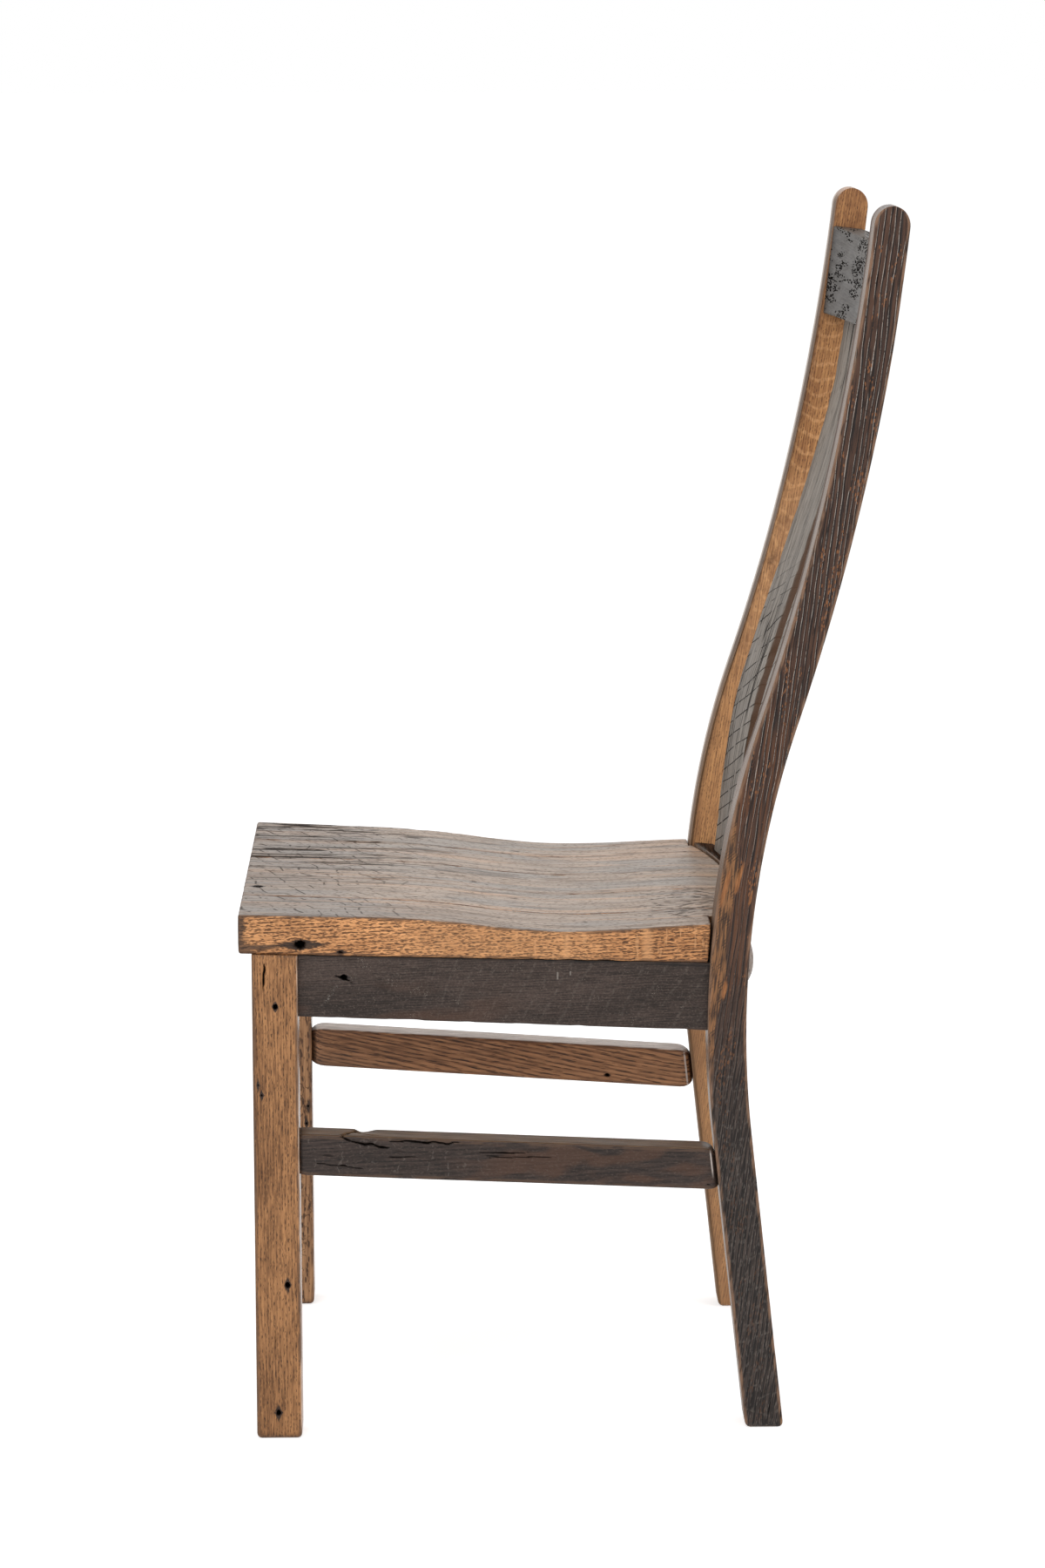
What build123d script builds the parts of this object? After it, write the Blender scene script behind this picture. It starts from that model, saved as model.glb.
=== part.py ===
from build123d import *
from math import asin, atan2, cos, radians, sin, sqrt, tan
import os

# Side chair of reclaimed oak: plank seat, two straight front legs, two rear posts sawn to an
# S, a bowed crest rail over three bent slats, and one stretcher along each side.
# Millimetres. The chair faces -Y, the sitter's left is +X, and +Z is up. The origin is on the
# floor, midway between the seat's front edge and the rearmost point of the crest rail.

# Whole chair
overall_height = 1070.0
front_width = 457.0
rear_width = 418.0
foot_reach = 463.2
arris = 1.5

# Rear posts: width across the chair, level depth, straight foot, knee and sweep of the curve
post_thickness = 38.0
post_depth = 33.7
foot_lean = radians(6.34)
knee_height = 265.7
knee_radius = 857.0
back_lean = radians(18.2)
sweep_radius = 2114.0

# Front legs
leg_width = 38.5
leg_depth = 39.6
foot_chamfer = 2.0

# Plank seat: top of its front edge, fall to the rear, scoop, and its space round the posts
seat_height = 468.0
seat_thickness = 34.5
seat_slope = radians(2.1)
seat_overhang = 11.4
seat_front_inset = 2.0
seat_rear_inset = 5.0
seat_gap = 2.0
seat_arris = 2.0
seat_board_count = 5
scoop_depth = 8.9
scoop_run_shares = (0.30, 0.44, 0.555, 0.665, 0.80, 0.90, 0.99)
scoop_drop_shares = (0.0, 0.28, 0.75, 1.0, 0.74, 0.33, 0.0)

# Aprons under the seat
apron_thickness = 20.0
apron_inset = 6.0
apron_height = 54.7
apron_slope = radians(3.0)

# Side stretchers, softened where they meet the legs
stretcher_thickness = 30.0
stretcher_height = 34.5
stretcher_top = 272.2
stretcher_slope = radians(3.2)
stretcher_arris = 2.0
stretcher_end_drop = 3.0
stretcher_end_run = 11.0

# Rear rail behind the seat, bowed in plan
rail_height = 71.0
rail_thickness = 24.0
rail_bow = 24.0
rail_lean = radians(4.0)
rail_setback = 4.0
rail_rise = 3.0

# Crest rail, bowed in plan
crest_height = 81.5
crest_thickness = 27.0
crest_bow = 18.0
crest_lean = radians(6.7)
crest_setback = 3.1
crest_drop = 34.5

# Back slats, bent forward for the small of the back
slat_count = 3
slat_width = 75.0
slat_thickness = 10.0
slat_foot_setback = 8.6
slat_head_setback = 12.9
slat_bend = 14.8
slat_rise_shares = (0.0, 0.16, 0.29, 0.42, 0.57, 0.73, 0.87, 1.0)
slat_bend_shares = (0.0, -0.69, -1.0, -0.74, -0.28, 0.15, 0.29, 0.0)

# Tenons and the room left for glue round them
tenon_length = 17.0
tenon_thickness = 10.0
tenon_shoulder = 9.0
tenon_root = 5.0
slat_tenon = 12.0
glue_gap = 0.1
glue_well = 1.0

# Corner blocks, and the screws that hold them to the aprons and to the seat
block_leg = 85.0
block_height = 33.0
screw_diameter = 4.2
screw_head = 8.0
screw_head_height = 3.0
screw_gap = 0.1
screw_run = 42.0
screw_side_run = 24.0
apron_screw_length = 38.0
apron_screw_seat = 22.0
seat_screw_length = 42.0
seat_screw_sink = 8.0


turn_height = knee_height + knee_radius * (sin(foot_lean) + sin(back_lean))


def post_lean(z):
    """Backward lean of a post's curve at height z, in radians."""
    if z <= knee_height:
        return -foot_lean
    if z <= turn_height:
        return asin((z - knee_height) / knee_radius - sin(foot_lean))
    return asin(sin(back_lean) - (z - turn_height) / sweep_radius)


def post_reach(z):
    """How far a post's rear edge lies behind the front of the front legs, at height z."""
    reach = foot_reach - tan(foot_lean) * min(z, knee_height)
    if z > knee_height:
        reach += knee_radius * (cos(foot_lean) - cos(post_lean(min(z, turn_height))))
    if z > turn_height:
        reach += sweep_radius * (cos(post_lean(z)) - cos(back_lean))
    return reach


# The posts end in a half round square to their curve
top_lean = post_lean(overall_height - post_depth / 2)
round_radius = post_depth / 2 * cos(top_lean)
back_shoulder = overall_height - round_radius * (1 + sin(top_lean))
front_shoulder = back_shoulder + post_depth * sin(top_lean) * cos(top_lean)

# The crest rail bulges out behind the posts
crest_top = overall_height - crest_drop
crest_bulge = (crest_bow + crest_thickness) * cos(crest_lean)
overall_depth = seat_overhang + post_reach(crest_top) - post_depth + crest_setback + crest_bulge
seat_front = -overall_depth / 2
leg_front = seat_front + seat_overhang
leg_middle = leg_front + leg_depth / 2
post_inner = rear_width / 2 - post_thickness


def post_back_y(z):
    return leg_front + post_reach(z)


def post_front_y(z):
    return post_back_y(z) - post_depth


def post_edge(setback, shoulder):
    """One long edge of a post: a straight foot, then the arcs of the knee and the sweep."""
    knee_middle = (knee_height + turn_height) / 2
    sweep_middle = (turn_height + shoulder) / 2
    heights = (0, knee_height, knee_middle, turn_height, sweep_middle, shoulder)
    points = [(post_back_y(z) - setback, z) for z in heights]
    Line(points[0], points[1])
    ThreePointArc(points[1:4])
    ThreePointArc(points[3:6])
    return points[0], points[-1]


def post_blank(side, mode=Mode.ADD):
    """A rear post sawn to its curve, before its joints are cut."""
    with BuildSketch(Plane.YZ.offset(side * (rear_width - post_thickness) / 2)) as outline:
        with BuildLine():
            back_foot, back_top = post_edge(0, back_shoulder)
            front_foot, front_top = post_edge(post_depth, front_shoulder)
            TangentArc(back_top, front_top, tangent=(sin(top_lean), cos(top_lean)))
            Line(front_foot, back_foot)
        make_face()
    extrude(outline.sketch, amount=post_thickness / 2, both=True, mode=mode)


def leg_blank(side, mode=Mode.ADD):
    """A front leg squared up, over-long at the top."""
    with BuildSketch() as outline:
        with Locations((side * (front_width - leg_width) / 2, leg_middle)):
            Rectangle(leg_width, leg_depth)
    extrude(outline.sketch, amount=seat_height, mode=mode)


# The seat's top plane falls to the rear. Everything under the seat stops at its underside.
seat_plane = Plane((0, seat_front, seat_height), (1, 0, 0), (0, sin(seat_slope), cos(seat_slope)))


def seat_under(y):
    """Height of the seat's underside at y."""
    fall = (y - seat_front) * tan(seat_slope)
    return seat_height - seat_thickness / cos(seat_slope) - fall


def trim_to_seat():
    with BuildSketch(seat_plane.offset(-seat_thickness)) as outline:
        Rectangle(2 * front_width, 2 * overall_depth)
    extrude(outline.sketch, amount=seat_height, mode=Mode.SUBTRACT)


# Side boards run from the middle of a front leg towards the middle of a post, so they close
# in to the rear.
rail_top = seat_height - (post_front_y(seat_height) - seat_front) * tan(seat_slope) + rail_rise
taper = atan2((front_width - rear_width) / 2, post_front_y(rail_top) + post_depth / 2 - leg_middle)


def side_plane(side, inset):
    """Upright plane on a side board's outer face: x runs back from the leg's middle, y is up."""
    origin = (side * (front_width / 2 - inset), leg_middle, 0)
    return Plane(origin, (-side * sin(taper), cos(taper), 0), (cos(taper), side * sin(taper), 0))


def along_side(y):
    """Distance along a side board from the middle of the front leg to the plane at y."""
    return (y - leg_middle) / cos(taper)


def side_board(side, inset, thickness, top, slope, height, start, end, mode=Mode.ADD):
    """A board along one side, with parallel edges that fall to the rear from a top at start 0."""
    tops = [(x, top - x * tan(slope)) for x in (start, end)]
    bottoms = [(x, z - height) for x, z in reversed(tops)]
    with BuildSketch(side_plane(side, inset)) as outline:
        with BuildLine():
            Polyline(tops + bottoms, close=True)
        make_face()
    extrude(outline.sketch, amount=-side * thickness, mode=mode)


leg_back_run = along_side(leg_front + leg_depth)
apron_bottom = seat_under(leg_front + leg_depth) - apron_height + leg_back_run * tan(apron_slope)
apron_rear_run = along_side(post_front_y(apron_bottom))
apron_middle_inset = apron_inset + apron_thickness / 2
front_apron_y = leg_front + apron_middle_inset
stretcher_inset = (leg_width - stretcher_thickness) / 2
stretcher_rear_run = along_side(post_front_y(stretcher_top - stretcher_height))


def side_apron_blank(side, mode=Mode.ADD):
    """A side apron's board, over-long into the leg and the post and over-wide at the top."""
    height = seat_height - apron_bottom
    side_board(side, apron_inset, apron_thickness, seat_height, apron_slope, height,
               0, apron_rear_run + post_depth / 2, mode)


def apron_tenon(side, start, end, gap=0, mode=Mode.ADD):
    """Tenon of a side apron over one stretch of its length, or with a gap its mortise."""
    inset = apron_middle_inset - tenon_thickness / 2 - gap
    height = apron_height - 2 * tenon_shoulder + 2 * gap
    top = apron_bottom + tenon_shoulder - gap + height
    side_board(side, inset, tenon_thickness + 2 * gap, top, apron_slope, height, start, end, mode)


def stretcher_tenon(side, start, end, gap=0, mode=Mode.ADD):
    """Tenon of a side stretcher over one stretch of its length, or with a gap its mortise."""
    inset = stretcher_inset + (stretcher_thickness - tenon_thickness) / 2 - gap
    height = stretcher_height - 2 * tenon_shoulder + 2 * gap
    top = stretcher_top + leg_back_run * tan(stretcher_slope) - tenon_shoulder + gap
    side_board(side, inset, tenon_thickness + 2 * gap, top, stretcher_slope, height, start, end, mode)


def front_apron_blank(mode=Mode.ADD):
    """The front apron's board between the front legs, over-wide at the top."""
    level = seat_under(leg_front + leg_depth) - apron_height
    with BuildSketch(Plane.XY.offset(level)) as outline:
        with Locations((0, front_apron_y)):
            Rectangle(front_width - 2 * leg_width, apron_thickness)
    extrude(outline.sketch, amount=seat_height - level, mode=mode)


def front_apron_tenon(side, gap=0, mode=Mode.ADD):
    """Tenon of the front apron at one leg, or with a gap its mortise."""
    level = seat_under(leg_front + leg_depth) - apron_height + tenon_shoulder - gap
    length = tenon_length + tenon_root + gap
    middle = side * (front_width / 2 - leg_width - tenon_root + length / 2)
    with BuildSketch(Plane.XY.offset(level)) as outline:
        with Locations((middle, front_apron_y)):
            Rectangle(length, tenon_thickness + 2 * gap)
    extrude(outline.sketch, amount=apron_height - 2 * tenon_shoulder + 2 * gap, mode=mode)


# The rear rail and the crest rail hang down from planes that lean back with the posts: x runs
# across the chair and y runs back from the chord of the front face.
def leaning_plane(setback, top, lean):
    return Plane((0, post_front_y(top) + setback, top), (1, 0, 0), (0, sin(lean), cos(lean)))


rail_plane = leaning_plane(rail_setback, rail_top, rail_lean)
crest_plane = leaning_plane(crest_setback, crest_top, crest_lean)


def bowed_board(plane, thickness, bow, height, mode=Mode.ADD):
    """A board bowed back in plan, filling the width between the posts."""
    with BuildSketch(plane) as outline:
        with BuildLine():
            front = ThreePointArc((-post_inner, 0), (0, bow), (post_inner, 0))
            back = ThreePointArc((-post_inner, thickness), (0, bow + thickness), (post_inner, thickness))
            Line(front @ 0, back @ 0)
            Line(front @ 1, back @ 1)
        make_face()
    extrude(outline.sketch, amount=-height, mode=mode)


def bowed_tenon(plane, thickness, height, side, gap=0, mode=Mode.ADD):
    """Tenon on one end of a bowed board, or with a gap its mortise."""
    length = tenon_length + tenon_root + gap
    with BuildSketch(plane.offset(gap - tenon_shoulder)) as outline:
        with Locations((side * (post_inner - tenon_root + length / 2), thickness / 2)):
            Rectangle(length, tenon_thickness + 2 * gap)
    extrude(outline.sketch, amount=-(height - 2 * tenon_shoulder + 2 * gap), mode=mode)


def bow_depth(bow, x):
    """Depth of a bowed front face behind its chord, at x across the chair."""
    radius = (post_inner ** 2 + bow ** 2) / (2 * bow)
    return sqrt(radius ** 2 - x ** 2) - radius + bow


def slat_blank(x, spare=0, mode=Mode.ADD):
    """A bent slat centred at x, its ends housed in both rails; spare deepens the housings."""
    foot_z = rail_top
    head_z = crest_top - crest_height * cos(crest_lean)
    left_x, right_x = x - slat_width / 2, x + slat_width / 2
    foot_left, foot_right = bow_depth(rail_bow, left_x), bow_depth(rail_bow, right_x)
    head_left, head_right = bow_depth(crest_bow, left_x), bow_depth(crest_bow, right_x)
    turn = atan2((foot_right + head_right - foot_left - head_left) / 2, slat_width)
    side_run = slat_width / 2 * tan(turn)
    foot_y = post_front_y(rail_top) + rail_setback + (foot_left + foot_right) / 2 + slat_foot_setback
    crest_foot_y = post_front_y(crest_top) + crest_setback - crest_height * sin(crest_lean)
    head_y = crest_foot_y + (head_left + head_right) / 2 + slat_head_setback
    front_points = [
        (foot_y + rise * (head_y - foot_y) + bend * slat_bend - side_run, foot_z + rise * (head_z - foot_z))
        for rise, bend in zip(slat_rise_shares, slat_bend_shares)
    ]
    back_points = [(y + slat_thickness, z) for y, z in front_points]
    with BuildSketch(Plane.YZ.offset(left_x)) as outline:
        with BuildLine():
            front = Spline(front_points)
            back = Spline(back_points)
            for end, direction in ((0, -1), (1, 1)):
                housed = front % end * direction * (slat_tenon + spare)
                Polyline(front @ end, front @ end + housed, back @ end + housed, back @ end)
        make_face()
    extrude(outline.sketch, amount=slat_width / cos(turn), dir=(cos(turn), sin(turn), 0), mode=mode)


def screw(plane, length, gap=0, sink=0, mode=Mode.ADD):
    """Pan-head screw driven along the plane's normal from its head's seat at the origin.

    A gap makes it the hole for such a screw, and sink is the counterbore behind the head.
    """
    with BuildSketch(plane) as shank:
        Circle(screw_diameter / 2 + gap)
    extrude(shank.sketch, amount=length + gap, mode=mode)
    with BuildSketch(plane) as head:
        Circle(screw_head / 2 + gap)
    extrude(head.sketch, amount=-(screw_head_height + sink), mode=mode)


def save(piece, name):
    piece.part.label = name
    export_step(piece.part, f"parts/{name}.step")


sides = {"left": 1, "right": -1}

# Each corner block is a triangle in plan. Its corner lies inside the leg or post, and its outer
# edge along the middle of the side apron, before the leg, post and boards are cut from it.
rear_corner_y = post_front_y(rail_top) + post_depth / 2


def apron_middle_x(side, y):
    """X of the middle of a side apron's thickness at y."""
    outer = front_width / 2 - (y - leg_middle) * tan(taper)
    return side * (outer - apron_middle_inset / cos(taper))


def block_corner(side, end):
    """Corner of a block's triangle, and the direction along Y to the chair's middle."""
    y, inward = (front_apron_y, 1) if end == "front" else (rear_corner_y, -1)
    return apron_middle_x(side, y), y, inward


def apron_screw_plane(side, end):
    """Seat of the screw that runs outwards through a block into its side apron."""
    x, y, inward = block_corner(side, end)
    screw_y = y + inward * screw_run
    plane = side_plane(side, apron_inset + apron_thickness + apron_screw_seat)
    level = seat_under(screw_y) - block_height / 2
    origin = plane.from_local_coords((along_side(screw_y), level, 0))
    return Plane(origin, plane.x_dir, plane.z_dir * side)


def seat_screw_plane(side, end):
    """Seat of the screw that runs up through a block into the seat."""
    x, y, inward = block_corner(side, end)
    screw_y = y + inward * screw_side_run
    level = seat_under(screw_y) - block_height + seat_screw_sink
    return Plane((x - side * screw_run, screw_y, level), (1, 0, 0), (0, 0, 1))


# Front legs
for name, side in sides.items():
    with BuildPart() as leg:
        leg_blank(side)
        chamfer(leg.faces().sort_by(Axis.Z)[0].edges(), length=foot_chamfer)
        fillet(leg.edges().filter_by(Axis.Z), radius=arris)
        trim_to_seat()
        apron_tenon(side, leg_back_run - tenon_length - glue_well, leg_back_run + tenon_root,
                    glue_gap, Mode.SUBTRACT)
        stretcher_tenon(side, leg_back_run - tenon_length - glue_well, leg_back_run + tenon_root,
                        glue_gap, Mode.SUBTRACT)
        front_apron_tenon(side, glue_gap, Mode.SUBTRACT)
    save(leg, f"front_leg_{name}")

# Rear posts
for name, side in sides.items():
    with BuildPart() as post:
        post_blank(side)
        fillet(post.faces().filter_by(Axis.X).edges(), radius=arris)
        apron_tenon(side, apron_rear_run - tenon_root, apron_rear_run + tenon_length + glue_well,
                    glue_gap, Mode.SUBTRACT)
        stretcher_tenon(side, stretcher_rear_run - tenon_root,
                        stretcher_rear_run + tenon_length + glue_well, glue_gap, Mode.SUBTRACT)
        bowed_tenon(rail_plane, rail_thickness, rail_height, side, glue_gap, Mode.SUBTRACT)
        bowed_tenon(crest_plane, crest_thickness, crest_height, side, glue_gap, Mode.SUBTRACT)
    save(post, f"rear_post_{name}")

# Aprons, drilled from inside for the corner blocks' screws
for name, side in sides.items():
    with BuildPart() as apron:
        side_apron_blank(side)
        trim_to_seat()
        leg_blank(side, Mode.SUBTRACT)
        post_blank(side, Mode.SUBTRACT)
        apron_tenon(side, leg_back_run - tenon_length, leg_back_run + tenon_root)
        apron_tenon(side, apron_rear_run - tenon_root, apron_rear_run + tenon_length)
        for end in ("front", "rear"):
            screw(apron_screw_plane(side, end), apron_screw_length, screw_gap, mode=Mode.SUBTRACT)
    save(apron, f"side_apron_{name}")

with BuildPart() as front_apron:
    front_apron_blank()
    trim_to_seat()
    for side in sides.values():
        front_apron_tenon(side)
save(front_apron, "front_apron")

# Side stretchers
for name, side in sides.items():
    with BuildPart() as stretcher:
        top = stretcher_top + leg_back_run * tan(stretcher_slope)
        side_board(side, stretcher_inset, stretcher_thickness, top, stretcher_slope, stretcher_height,
                   0, stretcher_rear_run + post_depth / 2)
        leg_blank(side, Mode.SUBTRACT)
        post_blank(side, Mode.SUBTRACT)
        for end_face in (stretcher.faces().sort_by(Axis.Y)[0], stretcher.faces().sort_by(Axis.Y)[-1]):
            chamfer(end_face.edges(), length=stretcher_end_drop, length2=stretcher_end_run,
                    reference=end_face)
        fillet(stretcher.edges().sort_by(SortBy.LENGTH)[-4:], radius=stretcher_arris)
        stretcher_tenon(side, leg_back_run - tenon_length, leg_back_run + tenon_root)
        stretcher_tenon(side, stretcher_rear_run - tenon_root, stretcher_rear_run + tenon_length)
    save(stretcher, f"side_stretcher_{name}")

# Back: slats spaced evenly between the posts, housed in the rear rail and the crest rail
slat_pitch = slat_width + (2 * post_inner - slat_count * slat_width) / (slat_count + 1)
slat_places = [(number - (slat_count - 1) / 2) * slat_pitch for number in range(slat_count)]

with BuildPart() as rear_rail:
    bowed_board(rail_plane, rail_thickness, rail_bow, rail_height)
    for side in sides.values():
        bowed_tenon(rail_plane, rail_thickness, rail_height, side)
    for x in slat_places:
        slat_blank(x, glue_well, Mode.SUBTRACT)
save(rear_rail, "rear_rail")

with BuildPart() as crest_rail:
    bowed_board(crest_plane, crest_thickness, crest_bow, crest_height)
    for side in sides.values():
        bowed_tenon(crest_plane, crest_thickness, crest_height, side)
    for x in slat_places:
        slat_blank(x, glue_well, Mode.SUBTRACT)
save(crest_rail, "crest_rail")

for number, x in enumerate(slat_places, start=1):
    with BuildPart() as slat:
        slat_blank(x)
    save(slat, f"back_slat_{number}")


def seat_plank(left_x, width):
    """A plank of the seat from front to rear: flat, then scooped two thirds back."""
    depth = post_front_y(rail_top) - seat_front
    points = [(run * depth, -drop * scoop_depth) for run, drop in zip(scoop_run_shares, scoop_drop_shares)]
    tail = depth + rail_bow + rail_thickness
    edge_plane = Plane((left_x, seat_front, seat_height), (0, cos(seat_slope), -sin(seat_slope)), (1, 0, 0))
    with BuildSketch(edge_plane) as outline:
        with BuildLine():
            Spline(points, tangents=[(1, 0), (1, 0)])
            Polyline(points[-1], (tail, 0), (tail, -seat_thickness), (0, -seat_thickness), (0, 0), points[0])
        make_face()
    extrude(outline.sketch, amount=width)


def narrow_to_rear():
    """Keep what lies between the seat's long sides, which close in to the posts."""
    rear_y = post_front_y(rail_top)
    right = [(front_width / 2 - seat_front_inset, seat_front), (rear_width / 2 - seat_rear_inset, rear_y)]
    tail = [(post_inner, rear_y), (post_inner, rear_y + rail_bow + rail_thickness)]
    left = [(-x, y) for x, y in reversed(right + tail)]
    with BuildSketch() as outline:
        with BuildLine():
            Polyline(right + tail + left, close=True)
        make_face()
    extrude(outline.sketch, amount=overall_height, mode=Mode.INTERSECT)


def cut_to_back():
    """Cut away what lies behind the rear rail's bowed face and the posts, less the seat's gap."""
    tongue = post_inner - seat_gap
    with BuildSketch(rail_plane) as outline:
        with BuildLine():
            edge = ThreePointArc((-tongue, -seat_gap), (0, rail_bow - seat_gap), (tongue, -seat_gap))
            notch = -rail_setback - seat_gap
            far = rail_bow + rail_thickness + post_depth
            Polyline(edge @ 1, (tongue, notch), (front_width, notch), (front_width, far),
                     (-front_width, far), (-front_width, notch), (-tongue, notch), edge @ 0)
        make_face()
    extrude(outline.sketch, amount=rail_height, both=True, mode=Mode.SUBTRACT)


# Seat, glued up from boards of one width that run from front to rear
board_width = (front_width - 2 * seat_front_inset) / seat_board_count

for number in range(seat_board_count):
    edge_x = (number - seat_board_count / 2) * board_width
    with BuildPart() as board:
        seat_plank(edge_x, board_width)
        narrow_to_rear()
        cut_to_back()
        front_face = board.faces().sort_by(Axis.Y)[0]
        fillet(front_face.edges().filter_by(Axis.X), radius=seat_arris)
        for side in sides.values():
            for end in ("front", "rear"):
                plane = seat_screw_plane(side, end)
                if edge_x < plane.origin.X < edge_x + board_width:
                    screw(plane, seat_screw_length, screw_gap, mode=Mode.SUBTRACT)
    save(board, f"seat_board_{number + 1}")

# Corner blocks and their screws
for end in ("front", "rear"):
    for name, side in sides.items():
        x, y, inward = block_corner(side, end)
        far_y = y + inward * block_leg
        triangle = [(x, y), (x - side * block_leg, y), (apron_middle_x(side, far_y), far_y)]
        with BuildPart() as block:
            level = seat_under(y) - block_height
            with BuildSketch(Plane.XY.offset(level)):
                with BuildLine():
                    Polyline(triangle, close=True)
                make_face()
            extrude(amount=2 * block_height)
            trim_to_seat()
            leg_blank(side, Mode.SUBTRACT)
            post_blank(side, Mode.SUBTRACT)
            side_apron_blank(side, Mode.SUBTRACT)
            front_apron_blank(Mode.SUBTRACT)
            bowed_board(rail_plane, rail_thickness, rail_bow, rail_height, Mode.SUBTRACT)
            screw(apron_screw_plane(side, end), apron_screw_length, screw_gap, block_leg, Mode.SUBTRACT)
            screw(seat_screw_plane(side, end), seat_screw_length, screw_gap, block_height, Mode.SUBTRACT)
        save(block, f"corner_block_{end}_{name}")

with BuildPart() as apron_screws:
    for side in sides.values():
        for end in ("front", "rear"):
            screw(apron_screw_plane(side, end), apron_screw_length)
save(apron_screws, "apron_screws")

with BuildPart() as seat_screws:
    for side in sides.values():
        for end in ("front", "rear"):
            screw(seat_screw_plane(side, end), seat_screw_length)
save(seat_screws, "seat_screws")
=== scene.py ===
import bmesh
import bpy
import numpy as np
from mathutils import Matrix, Vector


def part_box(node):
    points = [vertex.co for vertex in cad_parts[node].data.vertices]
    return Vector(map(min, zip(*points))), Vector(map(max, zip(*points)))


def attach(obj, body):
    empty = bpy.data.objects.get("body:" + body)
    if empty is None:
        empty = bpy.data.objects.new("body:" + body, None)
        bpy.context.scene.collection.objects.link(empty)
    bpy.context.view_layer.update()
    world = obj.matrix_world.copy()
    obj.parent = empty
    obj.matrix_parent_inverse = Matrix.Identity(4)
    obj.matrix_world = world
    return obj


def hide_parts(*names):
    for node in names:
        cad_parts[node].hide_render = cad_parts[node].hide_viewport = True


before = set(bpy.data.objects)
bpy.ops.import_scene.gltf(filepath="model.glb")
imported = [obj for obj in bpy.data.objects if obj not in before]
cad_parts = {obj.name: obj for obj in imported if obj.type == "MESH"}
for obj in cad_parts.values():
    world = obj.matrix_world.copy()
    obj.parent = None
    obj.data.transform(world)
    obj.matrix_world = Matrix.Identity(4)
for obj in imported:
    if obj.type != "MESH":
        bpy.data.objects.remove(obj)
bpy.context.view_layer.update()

# Front legs: two square lengths of old oak with standing grain, rubbed at the arrises, with nail
# holes. Aprons and stretchers are tenoned into them, and the seat covers their tops.

half_width, leg_half_wide, leg_half_deep, leg_half_high = 228.5, 19.25, 19.8, 216.5
leg_low, leg_high = (np.array(corner) * 1000 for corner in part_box("front_leg_left"))
leg_front, leg_middle, leg_top = leg_low[1], (leg_low[1] + leg_high[1]) / 2, leg_high[2]
seat_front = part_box("seat_board_3")[0][1] * 1000
seat_height, seat_thickness, seat_slope = 468, 34.5, np.radians(2.1)
random_block = np.random.default_rng(11).random((48, 48, 48))


def noise(points):
    """Smooth values from 0 to 1 over points in units of one bump: a fixed block of random
    numbers, blended between the eight corners of the cell that holds each point."""
    cell = np.floor(points).astype(int)
    part = points - cell
    part = part * part * (3 - 2 * part)
    total = 0
    for corner in np.ndindex(2, 2, 2):
        weight = np.where(corner, part, 1 - part).prod(axis=-1)
        total = total + weight * random_block[tuple(np.moveaxis((cell + corner) % 48, -1, 0))]
    return total


def rise(values, low, high):
    """0 below low and 1 above high, with a smooth step between."""
    share = np.clip((values - low) / (high - low), 0, 1)
    return share * share * (3 - 2 * share)


def ruler(half, step, spots=()):
    """Even places from -half to half, with closer ones round each spot."""
    even = np.linspace(-half, half, max(2, round(2 * half / step) + 1))
    near = [middle + np.arange(-9, 10) * 0.5 for middle in spots]
    places = np.unique(np.concatenate([even, *near]).clip(-half, half))
    return places[np.append(True, np.diff(places) > 0.15)]


def spot(x, behind, z):
    """A place on the chair in mm, its depth measured back from the front legs' face."""
    return np.array([x, leg_front + behind, z])


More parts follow.
